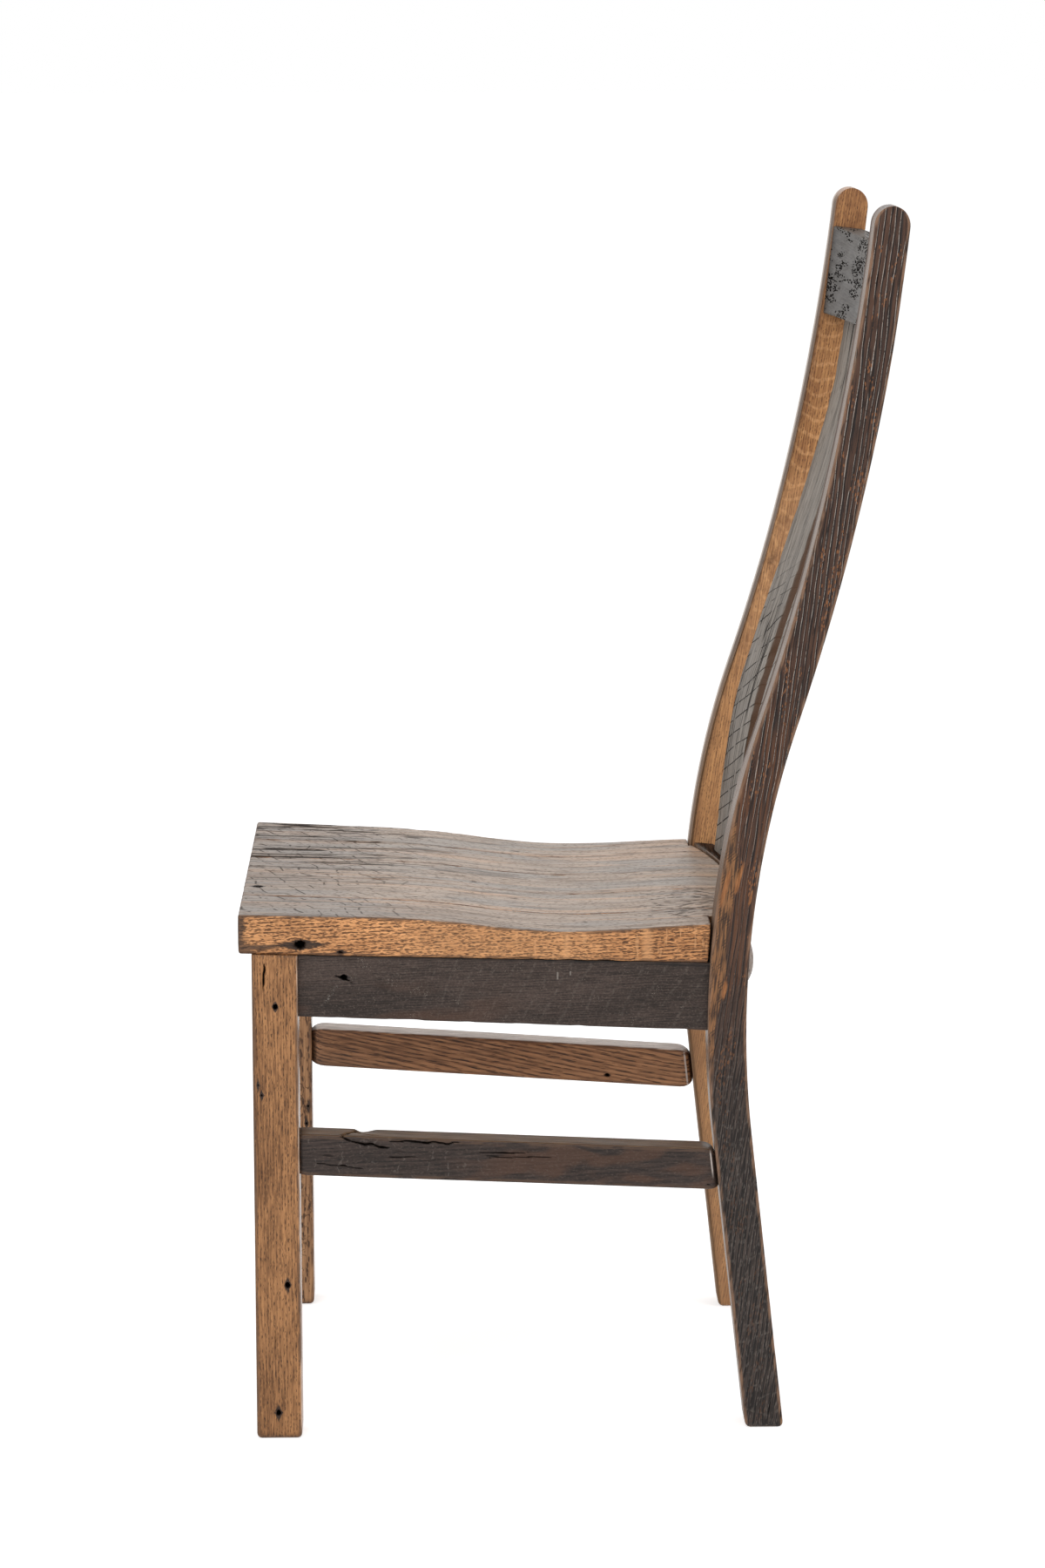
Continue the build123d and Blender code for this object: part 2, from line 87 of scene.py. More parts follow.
def carry(path, places, wide, deep, arris, ends):
    """A closed board: a rounded rectangle carried along a path.

    path turns places along it into x, y and z of the section's middle, its half width and its
    half depth. A point of the section is the middle plus its share of both, drawn in by the
    arris, plus a disc of that radius. Near each end the section draws in by a quarter ellipse
    with the end's (run, drop), and past it folds flat on its middle line, which closes the
    board. Returns points, outward directions and the distance to the nearest arris, as grids."""
    wide, deep = wide / wide[-1], deep / deep[-1]
    corner, quarter = np.radians([22.5, 45, 67.5]), np.pi / 2
    across, through, turn = np.hstack([np.broadcast_arrays(*run) for run in (
        (1, deep, 0), (1, 1, corner), (wide[::-1], 1, quarter), (-1, 1, quarter + corner),
        (-1, deep[::-1], 2 * quarter), (-1, -1, 2 * quarter + corner),
        (wide, -1, 3 * quarter), (1, -1, 3 * quarter + corner))])
    out_across, out_through = np.cos(turn), np.sin(turn)

    (run_0, drop_0), (run_1, drop_1) = ends
    first, last = places[0], places[-1]
    swing = np.radians(np.linspace(0, 90, 6))
    along = np.concatenate([
        np.full(3, first), first + run_0 * (1 - np.cos(swing)),
        places[(places > first + run_0 + 0.1) & (places < last - run_1 - 0.1)],
        last - run_1 * (1 - np.cos(swing[::-1])), np.full(3, last)])
    fold = np.ones(len(along))
    fold[:3], fold[-3:] = (0, 0.35, 0.7), (0.7, 0.35, 0)
    near_0 = 1 - ((along - first) / max(run_0, 1e-6)).clip(0, 1)
    near_1 = 1 - ((last - along) / max(run_1, 1e-6)).clip(0, 1)
    drawn = drop_0 * (1 - np.sqrt(1 - near_0 ** 2)) + drop_1 * (1 - np.sqrt(1 - near_1 ** 2))

    middle, half_wide, half_deep = (
        np.stack([np.broadcast_to(number, along.shape) for number in vector], -1).astype(float)
        for vector in path(along))
    size_wide = np.linalg.norm(half_wide, axis=1)
    size_deep = np.linalg.norm(half_deep, axis=1)
    unit_wide = half_wide / np.maximum(size_wide, 1e-9)[:, None]
    unit_deep = half_deep / np.maximum(size_deep, 1e-9)[:, None]
    size_wide = (size_wide - drawn)[:, None]
    size_deep = (np.maximum(size_deep - drawn, 0) * fold)[:, None]
    radius = np.minimum(arris, np.minimum(size_wide, size_deep))
    move_wide = across * (size_wide - radius) + radius * out_across
    move_deep = through * (size_deep - radius) + radius * out_through
    points = (middle[:, None] + unit_wide[:, None] * move_wide[..., None]
              + unit_deep[:, None] * move_deep[..., None])

    slope_along = np.gradient(points, axis=0)
    slope_round = np.roll(points, -1, axis=1) - np.roll(points, 1, axis=1)
    outward = np.cross(slope_round, slope_along)
    size = np.linalg.norm(outward, axis=2, keepdims=True)
    outward = np.where(size > 1e-6, outward / np.maximum(size, 1e-6), 0)
    if (outward * (points - middle[:, None])).sum() < 0:
        outward = -outward
    flat = np.where(abs(out_across) > 0.99, (1 - abs(through)) * size_deep.max(),
                    np.where(abs(out_through) > 0.99, (1 - abs(across)) * size_wide.max(), 0))
    to_end = np.minimum(abs(along - first), abs(last - along))
    return points, outward, np.minimum(flat[None, :], to_end[:, None])


def add_object(name, data):
    """A new object at the origin, linked into the scene."""
    made = bpy.data.objects.new(name, data)
    bpy.context.scene.collection.objects.link(made)
    return made


def make_piece(name, points, fields, material):
    """Turn a grid of points in mm, closed round its second way, into a piece of the chair."""
    rows, columns = points.shape[:2]
    index = np.arange(rows * columns).reshape(rows, columns)
    right = np.roll(index, -1, axis=1)
    faces = np.stack([index[:-1], right[:-1], right[1:], index[1:]], axis=-1).reshape(-1, 4)
    corners = points.reshape(-1, 3)[faces]
    volume = sum(np.einsum("ij,ij->i", corners[:, 0], np.cross(corners[:, a], corners[:, b])).sum()
                 for a, b in ((1, 2), (2, 3)))
    if volume < 0:
        faces = faces[:, ::-1]
    mesh = bpy.data.meshes.new(name)
    mesh.from_pydata(points.reshape(-1, 3) * 0.001, [], faces)
    for key, values in fields.items():
        field = mesh.attributes.new(key, "FLOAT", "POINT")
        field.data.foreach_set("value", np.ascontiguousarray(values, np.float32).ravel())
    shell = bmesh.new()
    shell.from_mesh(mesh)
    bmesh.ops.remove_doubles(shell, verts=shell.verts, dist=2e-6)
    shell.to_mesh(mesh)
    shell.free()
    mesh.polygons.foreach_set("use_smooth", np.ones(len(mesh.polygons), bool))
    mesh.materials.append(material)
    piece = add_object(name, mesh)
    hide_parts(name)
    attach(piece, "root")


def weather(points, outward, to_arris, wood, sawn=None, holes=(), checks=(), groove=0.25,
            fissures=0.5, chips=0.7, wave=0.3):
    """Old age of a board: how deep each point lies under the sawn face, and where dirt is.

    Broad waves and narrow grooves run with the grain. Fissures open where a long narrow noise
    passes a limit, and chips bite the arrises. Faces across the axis sawn keep all of this, and
    the others were sanded nearly smooth. A hole is (place, radius, depth, half length and half
    width of its stain), and a check is (start, end, width, depth), with places as in spot."""
    grained = points[..., wood.grain].copy()
    grained[..., 1] -= wood.lean * grained[..., 2]
    grained += wood.shift
    rough = 1.0 if sawn is None else 0.12 + 0.88 * rise(abs(outward[..., sawn]), 0.5, 0.95)
    edge = np.exp(-to_arris / 2.0)
    depth = wave * noise(grained / (34, 34, 150))
    depth += groove * noise(grained / (1.9, 1.9, 46)) * noise(grained / (11, 11, 90) + 7)
    cleft = rise(noise(grained / (1.7, 1.7, 30) + 19), 0.80, 0.92)
    cleft *= rise(noise(grained / (16, 16, 80) + 3), 0.45, 0.7)
    depth += fissures * cleft
    bite = edge * rise(noise(grained / (4.5, 4.5, 16) + 31), 0.6, 0.95)
    depth = (depth + chips * bite) * rough
    dark = 0.9 * cleft * min(1.0, fissures * 2) * rough
    stain = np.zeros(depth.shape)
    for place, radius, sunk, long, wide in holes:
        away = points - spot(*place)
        level = (away * outward).sum(-1)
        away = away - level[..., None] * outward
        ahead = abs(away[..., wood.grain[2]])
        beside = np.sqrt(np.maximum(np.linalg.norm(away, axis=-1) ** 2 - ahead ** 2, 0))
        on_face = abs(level) < 3
        ragged = radius * (0.8 + 0.4 * noise(points / 1.3))
        near = np.hypot(beside, ahead * 0.8)
        depth += sunk * (1 - rise(near, ragged * 0.5, ragged * 1.05)) * on_face
        dark = np.maximum(dark, (1 - rise(near, ragged * 0.8, ragged * 1.3)) * on_face)
        lens = 1 - ahead / long - beside / wide + 0.3 * (noise(points / 2.0) - 0.5)
        stain = np.maximum(stain, rise(lens, 0.0, 0.12) * on_face)
    for start, end, width, sunk in checks:
        way = spot(*end) - spot(*start)
        length = np.linalg.norm(way)
        way = way / length
        away = points - spot(*start)
        level = (away * outward).sum(-1)
        ahead = away @ way
        beside = (away * np.cross(outward, way)).sum(-1)
        beside = beside + (noise(points / 6.0) - 0.5) * width * 3.0
        past = np.maximum(np.maximum(-ahead, ahead - length), 0)
        narrow = np.sin(np.pi * (ahead / length).clip(0.03, 0.97)) ** 0.5
        gap = np.exp(-(np.hypot(beside, past) / (width * narrow)) ** 2) * (abs(level) < 4)
        depth += sunk * gap
        dark = np.maximum(dark, rise(gap, 0.2, 0.65))
    return depth, {"dark": dark.clip(0, 1), "edge": edge, "stain": stain,
                   "rough": depth * 0 + rough, "up": outward[..., 2], "aside": outward[..., 0]}


def board(name, slot, wood, path, places, wide, deep, arris, ends=((0.4, 0.4),) * 2, shape=None,
          masks=(), **age):
    """Carry a board along its path, shape and weather it, and hand it over as a piece."""
    points, outward, to_arris = carry(path, places, wide, deep, arris, ends)
    if shape:
        points = shape(points)
    depth, fields = weather(points, outward, to_arris, wood, **age)
    for key, mask in dict(masks).items():
        fields[key] = mask(points)
    make_piece(name, points - outward * depth[..., None], fields, wood.material)


class Shade:
    """One output of a shader node. Arithmetic with shades and numbers adds Math nodes."""

    def __init__(self, tree, socket=None):
        self.tree, self.socket = tree, socket

    def node(self, kind, inputs=(), output=0, **settings):
        """Add a node: its settings first, then the values or links of its sockets."""
        made = self.tree.nodes.new("ShaderNode" + kind)
        for key, value in settings.items():
            setattr(made, key, value)
        for place, value in dict(inputs).items():
            if isinstance(value, Shade):
                self.tree.links.new(value.socket, made.inputs[place])
            else:
                made.inputs[place].default_value = value
        return Shade(self.tree, made.outputs[output] if len(made.outputs) else None)

    def math(self, operation, first, second=0.0):
        return self.node("Math", {0: first, 1: second}, operation=operation)

    def __add__(self, other):
        return self.math("ADD", self, other)

    __radd__ = __add__

    def __sub__(self, other):
        return self.math("SUBTRACT", self, other)

    def __rsub__(self, other):
        return self.math("SUBTRACT", other, self)

    def __mul__(self, other):
        return self.math("MULTIPLY", self, other)

    __rmul__ = __mul__

    def __truediv__(self, other):
        return self.math("DIVIDE", self, other)

    def sine(self):
        return self.math("SINE", self)

    def rise(self, low, high):
        """0 below low and 1 above high, with a smooth step between."""
        return self.node("MapRange", {0: self, 1: low, 2: high}, interpolation_type="SMOOTHSTEP")

    def fall(self, low, high):
        """1 below low and 0 above high, with a smooth step between."""
        return 1.0 - self.rise(low, high)

    def within(self, low, high, soft):
        """1 between low and high, with soft edges."""
        return self.rise(low - soft, low + soft) * self.fall(high - soft, high + soft)

    def either(self, other):
        """The larger of two masks."""
        return self.math("MAXIMUM", self, other)

    def blend(self, first, second):
        """The first colour where this mask is 0, and the second where it is 1."""
        return self.node("Mix", {0: self, 6: ink(first), 7: ink(second)}, 2, data_type="RGBA")

    def part(self, axis):
        """One of this vector's three numbers."""
        return self.node("SeparateXYZ", {0: self}, axis)

    def scaled(self, sizes, shift):
        """This vector in mm, in units of a bump's size each way."""
        return self.node("VectorMath", {0: self, 1: [1 / size for size in sizes], 2: [shift] * 3},
                         operation="MULTIPLY_ADD")

    def bumps(self, across, along, shift, detail=2.0):
        """Noise over this vector in mm, its bumps of one size across the grain, or of two that
        differ, and of another along it."""
        sizes = (*np.broadcast_to(across, 2), along)
        return self.node("TexNoise", {"Vector": self.scaled(sizes, shift), "Scale": 1.0,
                                      "Detail": detail})

    def dashes(self, across, along, fill, shift=0.0):
        """Scattered strokes along the last axis: stretched cells, each filled round its middle
        as far as fill, which may be a mask."""
        near = self.node("TexVoronoi", {"Vector": self.scaled((across, across, along), shift),
                                        "Scale": 1.0})
        return (fill - near).rise(0.0, 0.12)

    def field(self, name):
        """A number that the mesh carries at each point."""
        return self.node("Attribute", attribute_name=name, output=2)


def bare_tree(owner):
    """The owner's node tree, emptied and ready to build on."""
    owner.use_nodes = True
    owner.node_tree.nodes.clear()
    return Shade(owner.node_tree)


def ink(color):
    """A colour as it shows on a screen, red, green and blue from 0 to 255, as the shader's own
    values. A shade is left as it is."""
    if isinstance(color, Shade):
        return color
    shown = np.array(color) / 255
    return (*np.where(shown > 0.04045, ((shown + 0.055) / 1.055) ** 2.4, shown / 12.92), 1.0)


class Wood:
    """The oak of one piece while it is being finished: each point's place in mm, the same place
    with the grain as its last axis, the colour so far, and the height of the bump."""

    def __init__(self, name, grain, shift, lean=0.0):
        self.grain, self.shift, self.lean = grain, shift, lean
        self.material = bpy.data.materials.new(name)
        whole = bare_tree(self.material).node("TexCoord", output=3)
        self.x, self.y, self.z = (whole.part(axis) * 1000.0 for axis in range(3))
        split = [(self.x, self.y, self.z)[axis] for axis in grain]
        if lean:
            split[1] = split[1] - split[2] * lean
        self.place = whole.node("CombineXYZ", dict(enumerate(split)))

    def rings(self, place, ring, bend, wobble):
        """How far each point lies from one growth ring to the next, 0 to 1. The rings lie side
        by side across the board, bend slowly and wobble."""
        across = place.part(1) + place.part(0) * 0.6
        return place.math("FRACT", across / ring + self.slow * bend + self.wander * wobble)

    def figure(self, light, dark, pore, ring, bend=4.0, dash=(0.8, 6.0), fill=0.5, early=0.5,
               mottle=0.5, streak=(1.5, 30.0), place=None):
        """Sawn oak. Each growth ring opens with a band of early wood, where the pores are cut
        into short dark dashes. Fine fibres and slow changes of tone lie over that."""
        place, shift = place or self.place, self.shift
        self.slow, self.wander = place.bumps(34, 210, shift + 3.1), place.bumps(8, 60, shift + 8.4)
        early_wood = self.rings(place, ring, bend, 0.8).fall(0.25, 0.6)
        fibre = place.bumps(*streak, shift + 5.7, 4.0)
        pores = place.dashes(*dash, early_wood * (fill * 0.55) + fill * 0.45, shift + 1.3)
        tone = ((fibre - 0.5) * 2.4 + (self.slow - 0.5) * (mottle * 2.5)
                - early_wood * (early * 0.5))
        self.color = (tone + (0.5 + early * 0.2)).blend(dark, light)
        self.paint(pores * 0.85, pore)
        self.height = fibre * 0.6 - early_wood * 0.15 - pores * 0.8

    def paint(self, mask, color):
        """Lay a colour over what is there, as far as the mask goes."""
        self.color = mask.blend(self.color, color)

    def varnish(self, rough, smooth, rub=None, dull=0.0):
        """Dirt in the mesh's own holes and checks, a rubbed arris, satin varnish and the bump.
        Sanded faces are glossier and show less of the bump than the sawn ones, and where the
        dull mask is 1, as in open cracks and pores, no varnish shines at all."""
        place = self.place
        dark, edge, stain, sawn = (place.field(name) for name in ("dark", "edge", "stain", "rough"))
        self.paint(stain * place.bumps(2, 5, 2.2).rise(0.1, 0.4) * 0.92, (36, 30, 28))
        if rub:
            worn = edge.rise(0.3, 0.85) * place.bumps(3, 22, 4.4).rise(0.35, 0.6)
            self.paint(worn * 0.8, rub)
        self.paint(dark, (10, 8, 7))
        roughness = (place.bumps(7, 40, 6.6).rise(0.3, 0.7) * 0.1 + sawn * (rough - smooth)
                     + smooth).either(dark * 0.9)
        bumped = place.node("Bump", {"Strength": 0.5, "Distance": 0.0006,
                                     "Height": self.height * (sawn * 0.8 + 0.2)})
        gloss = place.node("BsdfPrincipled", {"Base Color": self.color, "Roughness": roughness,
                                              "Normal": bumped, "IOR": 1.3})
        bare = place.node("BsdfDiffuse", {"Color": self.color, "Normal": bumped})
        mixed = place.node("MixShader", {0: dark.either(dull), 1: gloss, 2: bare})
        place.node("OutputMaterial", {0: mixed})


def seat_under(y):
    """Height of the seat's underside: its front top edge less its thickness and the fall."""
    return seat_height - seat_thickness / np.cos(seat_slope) - (y - seat_front) * np.tan(seat_slope)


def trim_leg(points):
    """Shear the leg's length so that its top lies against the sloping seat."""
    points[..., 2] *= 1 + (seat_under(points[..., 1]) / leg_top - 1) * (points[..., 2] / leg_top)
    return points


leg_age = {
    "left": dict(
        holes=[((228.5, 20.1, 387.2), 1.9, 6, 6, 3.4), ((228.5, 28.2, 139.3), 2.1, 6, 8, 3.5),
               ((228.5, 19.0, 23.8), 2.1, 6, 8, 4), ((228.5, 7.6, 309), 0.8, 0.6, 5, 2.4),
               ((228.5, 4.5, 318), 0.6, 0.6, 7, 1.6)],
        checks=[((228.5, 10.0, 424), (228.5, 9.8, 402), 1.2, 2.6)]),
    "right": dict(
        holes=[((-190, 24, 330), 1.4, 4, 8, 3), ((-228.5, 15, 120), 2.0, 6, 6, 4),
               ((-190, 35.8, 197), 1.0, 1, 9, 2.5), ((-190, 33.9, 180), 1.0, 1, 7, 2.5)]),
}
for side, turned, shift in (("left", 1, 0), ("right", -1, 21)):
    wood = Wood(f"leg_oak_{side}", (0, 1, 2), shift)
    place, paint = wood.place, wood.paint
    if side == "left":
        wood.figure((182, 131, 87), (106, 72, 46), (62, 42, 30), ring=2.7, bend=3, dash=(0.9, 4.6),
                    fill=0.44, early=0.2, mottle=0.8, streak=(1.3, 15))
        # Short yellow dashes along the grain: painted glints.
        paint(place.dashes(1.3, 9, 0.2, 44) * 0.7, (196, 146, 92))
        behind = wood.y - leg_front
        paint(behind.fall(0, 3.5) * 0.55, (86, 68, 56))
        # A pale line along the rear arris: a painted highlight.
        back_edge_highlight = behind.rise(38.2, 39.2) * place.field("aside").rise(0.1, 0.5)
        paint(back_edge_highlight * 0.7, (222, 204, 190))
    else:
        wood.figure((192, 146, 106), (136, 99, 70), (62, 44, 34), ring=7, bend=7, dash=(1.9, 7),
                    early=0.8, mottle=0.6)
        curl = place.bumps(7, 12, 52).within(0.475, 0.525, 0.012)
        paint(curl * place.bumps(20, 50, 53).rise(0.47, 0.57) * 0.75, (58, 38, 28))
    # Darker at the very foot: painted shade where the leg meets the floor.
    paint(wood.z.fall(1, 8) * 0.45, (56, 42, 34))
    wood.varnish(0.4, 0.2, (104, 78, 60))
    nails = [hole[0] for hole in leg_age[side]["holes"]]
    board(f"front_leg_{side}", "leg_oak", wood,
          lambda along: ((turned * (half_width - leg_half_wide), leg_middle, along),
                         (leg_half_wide, 0, 0), (0, leg_half_deep, 0)),
          ruler(leg_half_high, 2.2, [z - leg_half_high for x, y, z in nails]) + leg_half_high,
          ruler(leg_half_wide, 1.4),
          ruler(leg_half_deep, 1.2, [leg_front + y - leg_middle for x, y, z in nails]),
          arris=1.6, ends=((5.5, 4.5), (0.5, 0.5)), shape=trim_leg, sawn=0,
          groove=0.12, wave=0.25, fissures=0.3, **leg_age[side])

# Rear posts: each is one plank sawn to an S, leg below the seat and back post above it, with a
# half-round head. The aprons, stretchers and both rails are tenoned into them.

chair_height, post_middle, post_half_wide, post_depth = 1070, 190, 19, 33.7
foot_reach, foot_lean, knee_height, knee_radius = 463.2, np.radians(6.34), 265.7, 857.0
back_lean, sweep_radius = np.radians(18.2), 2114.0
turn_height = knee_height + knee_radius * (np.sin(foot_lean) + np.sin(back_lean))


def post_lean(z):
    """Backward lean of a post: straight foot, then the arc of the knee, then the sweep's."""
    bent = (np.clip(z, knee_height, turn_height) - knee_height) / knee_radius
    swept = (np.maximum(z, turn_height) - turn_height) / sweep_radius
    return np.where(z <= turn_height, np.arcsin(bent - np.sin(foot_lean)),
                    np.arcsin(np.sin(back_lean) - swept))


def post_back(z):
    """Y of a post's rear edge: the straight foot's fall, plus each arc's rise so far."""
    reach = foot_reach - np.tan(foot_lean) * np.minimum(z, knee_height)
    knee = np.cos(foot_lean) - np.cos(post_lean(np.clip(z, knee_height, turn_height)))
    sweep = np.cos(post_lean(np.maximum(z, turn_height))) - np.cos(back_lean)
    return leg_front + reach + knee_radius * knee + sweep_radius * sweep


top_lean = float(post_lean(chair_height - post_depth / 2))
head_radius = post_depth / 2 * np.cos(top_lean)
back_shoulder = chair_height - head_radius * (1 + np.sin(top_lean))
front_shoulder = back_shoulder + post_depth * np.sin(top_lean) * np.cos(top_lean)
post_length = back_shoulder + head_radius * np.pi / 2


def post_path(along, turned):
    """Sections from the foot, tilting slowly to lie square at the head, where a half circle
    closes them: its middle rises by the sine and its depth shrinks by the cosine. The upper
    half was planed a little slimmer in front, most of all at the head."""
    share = np.minimum(along / back_shoulder, 1)
    back = np.stack([post_back(share * back_shoulder), share * back_shoulder])
    front = np.stack([post_back(share * front_shoulder) - post_depth, share * front_shoulder])
    front[0] += 1.3 * rise(share, 0.5, 0.72) + 0.6 * rise(share, 0.86, 1.0)
    back[0] -= rise(share, 0.86, 1.0)
    swing = np.clip((along - back_shoulder) / head_radius, 0, np.pi / 2)
    up = np.array([[np.sin(top_lean)], [np.cos(top_lean)]])
    middle = (back + front) / 2 + head_radius * np.sin(swing) * up
    deep = (back - front) / 2 * np.cos(swing)
    return (turned * post_middle, *middle), (post_half_wide, 0, 0), (0, *deep)


def off_front(points):
    """Distance behind the post's front edge, level, in mm."""
    return points[..., 1] - post_back(points[..., 2].clip(0, 1069)) + post_depth


def worn_through(points):
    """Four patches where the old face is rubbed through, as slanting ellipses."""
    ahead, level = off_front(points), points[..., 2]
    patch = 0
    for at, height, long, wide in ((16.0, 494, 15, 2.2), (5.5, 486, 16, 2.6),
                                   (13.5, 396, 9, 2.0), (28.5, 476, 8, 1.2)):
        away = np.hypot((ahead - at - (level - height) * 0.10) / wide, (level - height) / long)
        away = away + 0.4 * (noise(points / (3, 3, 9)) - 0.5)
        patch = np.maximum(patch, 1 - rise(away, 0.75, 1.05))
    return patch * (points[..., 0] > 205)


def near_post(wood, upwards, from_front, front_face):
    """Dark weathered oak. The lower half is blacker and finely scored. The upper one has painted
    glints along its open rings, each with a painted groove shadow beside it, and its front edge is
    scraped to the brown wood. The front face is paler, its own colour with a painted sheen, and
    painted shade darkens its inner part."""
    place, paint = wood.place, wood.paint
    wood.figure((86, 61, 48), (44, 31, 26), (20, 14, 12), ring=5, dash=(1, 13), fill=0.4,
                early=0.3, streak=(1.3, 26))
    high, low = upwards.rise(230, 470), upwards.fall(230, 470)
    grey = place.bumps(1.6, 24, 15.5, 4).rise(0.4, 0.6).blend((28, 23, 21), (70, 60, 55))
    wood.color = high.blend(grey, wood.color)
    phase = wood.rings(place, 4.3, 3.0, 1.0)
    # Pale beads along the open rings: painted glints off the groove sides.
    glint_thread = phase.within(0.48, 0.55, 0.02) * place.bumps(3.5, 44, 12.7).rise(0.38, 0.44)
    glint_bead = glint_thread * place.bumps(1, 2.2, 9.4).rise(0.26, 0.5) * (upwards.rise(430, 640) * 0.8 + 0.12)
    # A dark band beside each ring: painted shadow in the groove.
    paint(phase.within(0.60, 0.82, 0.05) * 0.9, (16, 11, 9))
    streak = place.bumps(1.7, 60, 36).rise(0.52, 0.60) * upwards.fall(560, 760)
    paint(streak * 0.55 * upwards.rise(330, 440), (108, 70, 47))
    paint(glint_bead * 0.95, (190, 182, 174))
    paint(place.dashes(1.2, 8, 0.3, 3.3) * low * 0.45, (118, 110, 104))
    arc = upwards + from_front * 0.5 - from_front * from_front * 0.02
    arc = (arc / 2.2 + place.bumps(60, 60, 25) * 16).sine().rise(0.75, 1)
    paint(arc * place.bumps(2, 5, 26, 4).rise(0.5, 0.66) * low * 0.32, (118, 110, 104))
    fleck = place.dashes(1.5, 5, place.bumps(9, 40, 33.1).rise(0.5, 0.62) * 0.42, 7.7)
    paint(fleck * 0.8 * (high * 0.8 + 0.2), (140, 92, 58))

    scraped = 1.0 + 4.5 * upwards.fall(500, 640) + 9.0 * upwards.within(385, 520, 28)
    scraped = (scraped - from_front + (place.bumps(5, 36, 21) - 0.5) * 9).rise(-0.7, 1.2)
    brown = place.bumps(1.4, 16, 27, 4).rise(0.38, 0.62).blend((66, 48, 37), (140, 99, 66))
    scored = ((upwards - from_front * 0.9) / 0.5 + place.bumps(9, 9, 62) * 5).sine()
    scored = scored.rise(0.3, 0.9) * place.bumps(7, 11, 61).rise(0.50, 0.58)
    brown = (scored * 0.8).blend(brown, (46, 34, 28))
    brown = upwards.rise(520, 620).blend(brown, (84, 58, 44))
    paint(scraped * upwards.within(330, 780, 25), brown)
    raw = place.bumps(1, 8, 8).rise(0.3, 0.7).blend((128, 82, 50), (166, 112, 70))
    paint(place.field("worn") * 0.95, raw)

    # The front face paler: its own colour and a painted sheen.
    paint(front_face * 0.8, (142, 120, 103))
    # The inner part of the front face darker: painted shade.
    inside = wood.x.fall(178, 192) * front_face * upwards.rise(540, 620)
    paint(inside, (78, 58, 47))
    by_seat = front_face * upwards.within(400, 560, 40)
    paint(by_seat * 0.5, (92, 76, 66))
    foot = upwards.fall(5, 11) * from_front.rise(30.5, 33.5) * wood.x.rise(202, 206)
    paint(foot, (178, 142, 108))
    wood.height = wood.height + glint_bead * 1.0 - phase.within(0.62, 0.80, 0.06) * 1.2
    dull = (front_face * 0.4).either(inside * 0.9).either(by_seat * 0.65)
    wood.varnish(0.4, 0.22, (140, 108, 86), dull)


def far_post(wood, upwards, from_front, front_face):
    """Honey oak. Pale arcs of the figure cross it above the seat, and a knot lies near the crest's
    foot. Painted shade darkens the inner front edge and the inner part of the front face, a painted
    reflection lightens the rest of that face, with a painted highlight on its outer arris, and
    painted light lightens its lower part."""
    place, paint, sawn = wood.place, wood.paint, wood.place.field("rough")
    wood.figure((200, 146, 94), (138, 92, 58), (92, 60, 40), ring=2.3, bend=2.2, dash=(1, 4),
                fill=0.46, mottle=0.8, streak=(1.6, 22))
    arc = upwards - from_front * from_front * 0.028 + from_front * 0.9
    arc = (arc / 2.3 + place.bumps(50, 90, 5) * 22).sine()
    arc = arc.rise(0.5, 1) * place.bumps(3, 5, 71).rise(0.36, 0.52) * upwards.within(640, 985, 40)
    paint(arc * 0.45, (230, 176, 122))
    paint(upwards.within(620, 800, 40) * 0.3, (212, 166, 124))
    knot = place.node("CombineXYZ", {0: from_front - 9, 1: upwards * 0.4 - 290})
    knot = place.node("VectorMath", {0: knot}, 1, operation="LENGTH") + place.bumps(3, 3, 12) * 6
    paint(knot.fall(2.5, 8) * 0.7, (72, 46, 33))
    paint(place.bumps(1.2, 14, 74, 4).rise(0.52, 0.66) * 0.4, (104, 68, 44))
    # Darker along the inner front edge: painted shade.
    inner = from_front.fall(1.5, 9) * sawn * (1.0 - upwards.within(600, 800, 40) * 0.7)
    paint(inner * 0.5, (96, 62, 42))
    paint(upwards.rise(780, 960) * 0.16 + upwards.rise(960, 1020) * 0.14, (98, 62, 42))
    blotch = place.bumps(9, 16, 73, 3).rise(0.48, 0.66) * (upwards.rise(950, 1000) * 0.3 + 0.25)
    paint(blotch, (112, 73, 46))
    # A dark line just inside the front arris: painted shade.
    edge_shade_line = from_front.fall(1.6, 3.6) * sawn
    paint(edge_shade_line * 0.95, (30, 21, 18))
    # On the front face: a pale painted reflection, with painted shade on its inner part.
    shaded = wood.x.rise(-204, -188) * front_face
    pale = place.bumps(1.6, 22, 64, 4).rise(0.3, 0.7).blend((168, 150, 134), (214, 200, 186))
    paint(front_face, shaded.blend(pale, (62, 45, 36)))
    # Lighter towards the foot: painted light.
    paint(upwards.fall(250, 420) * 0.3, (206, 162, 122))
    paint(upwards.within(440, 620, 30) * 0.12, (236, 186, 140))
    # A pale line on the outer front arris: a painted highlight.
    edge_highlight = wood.x.fall(-208, -204) * from_front.fall(1.5, 3)
    paint(edge_highlight * upwards.rise(440, 470) * 0.9, (214, 202, 190))
    wood.varnish(0.4, 0.22, dull=shaded.either(edge_shade_line) * 0.9)


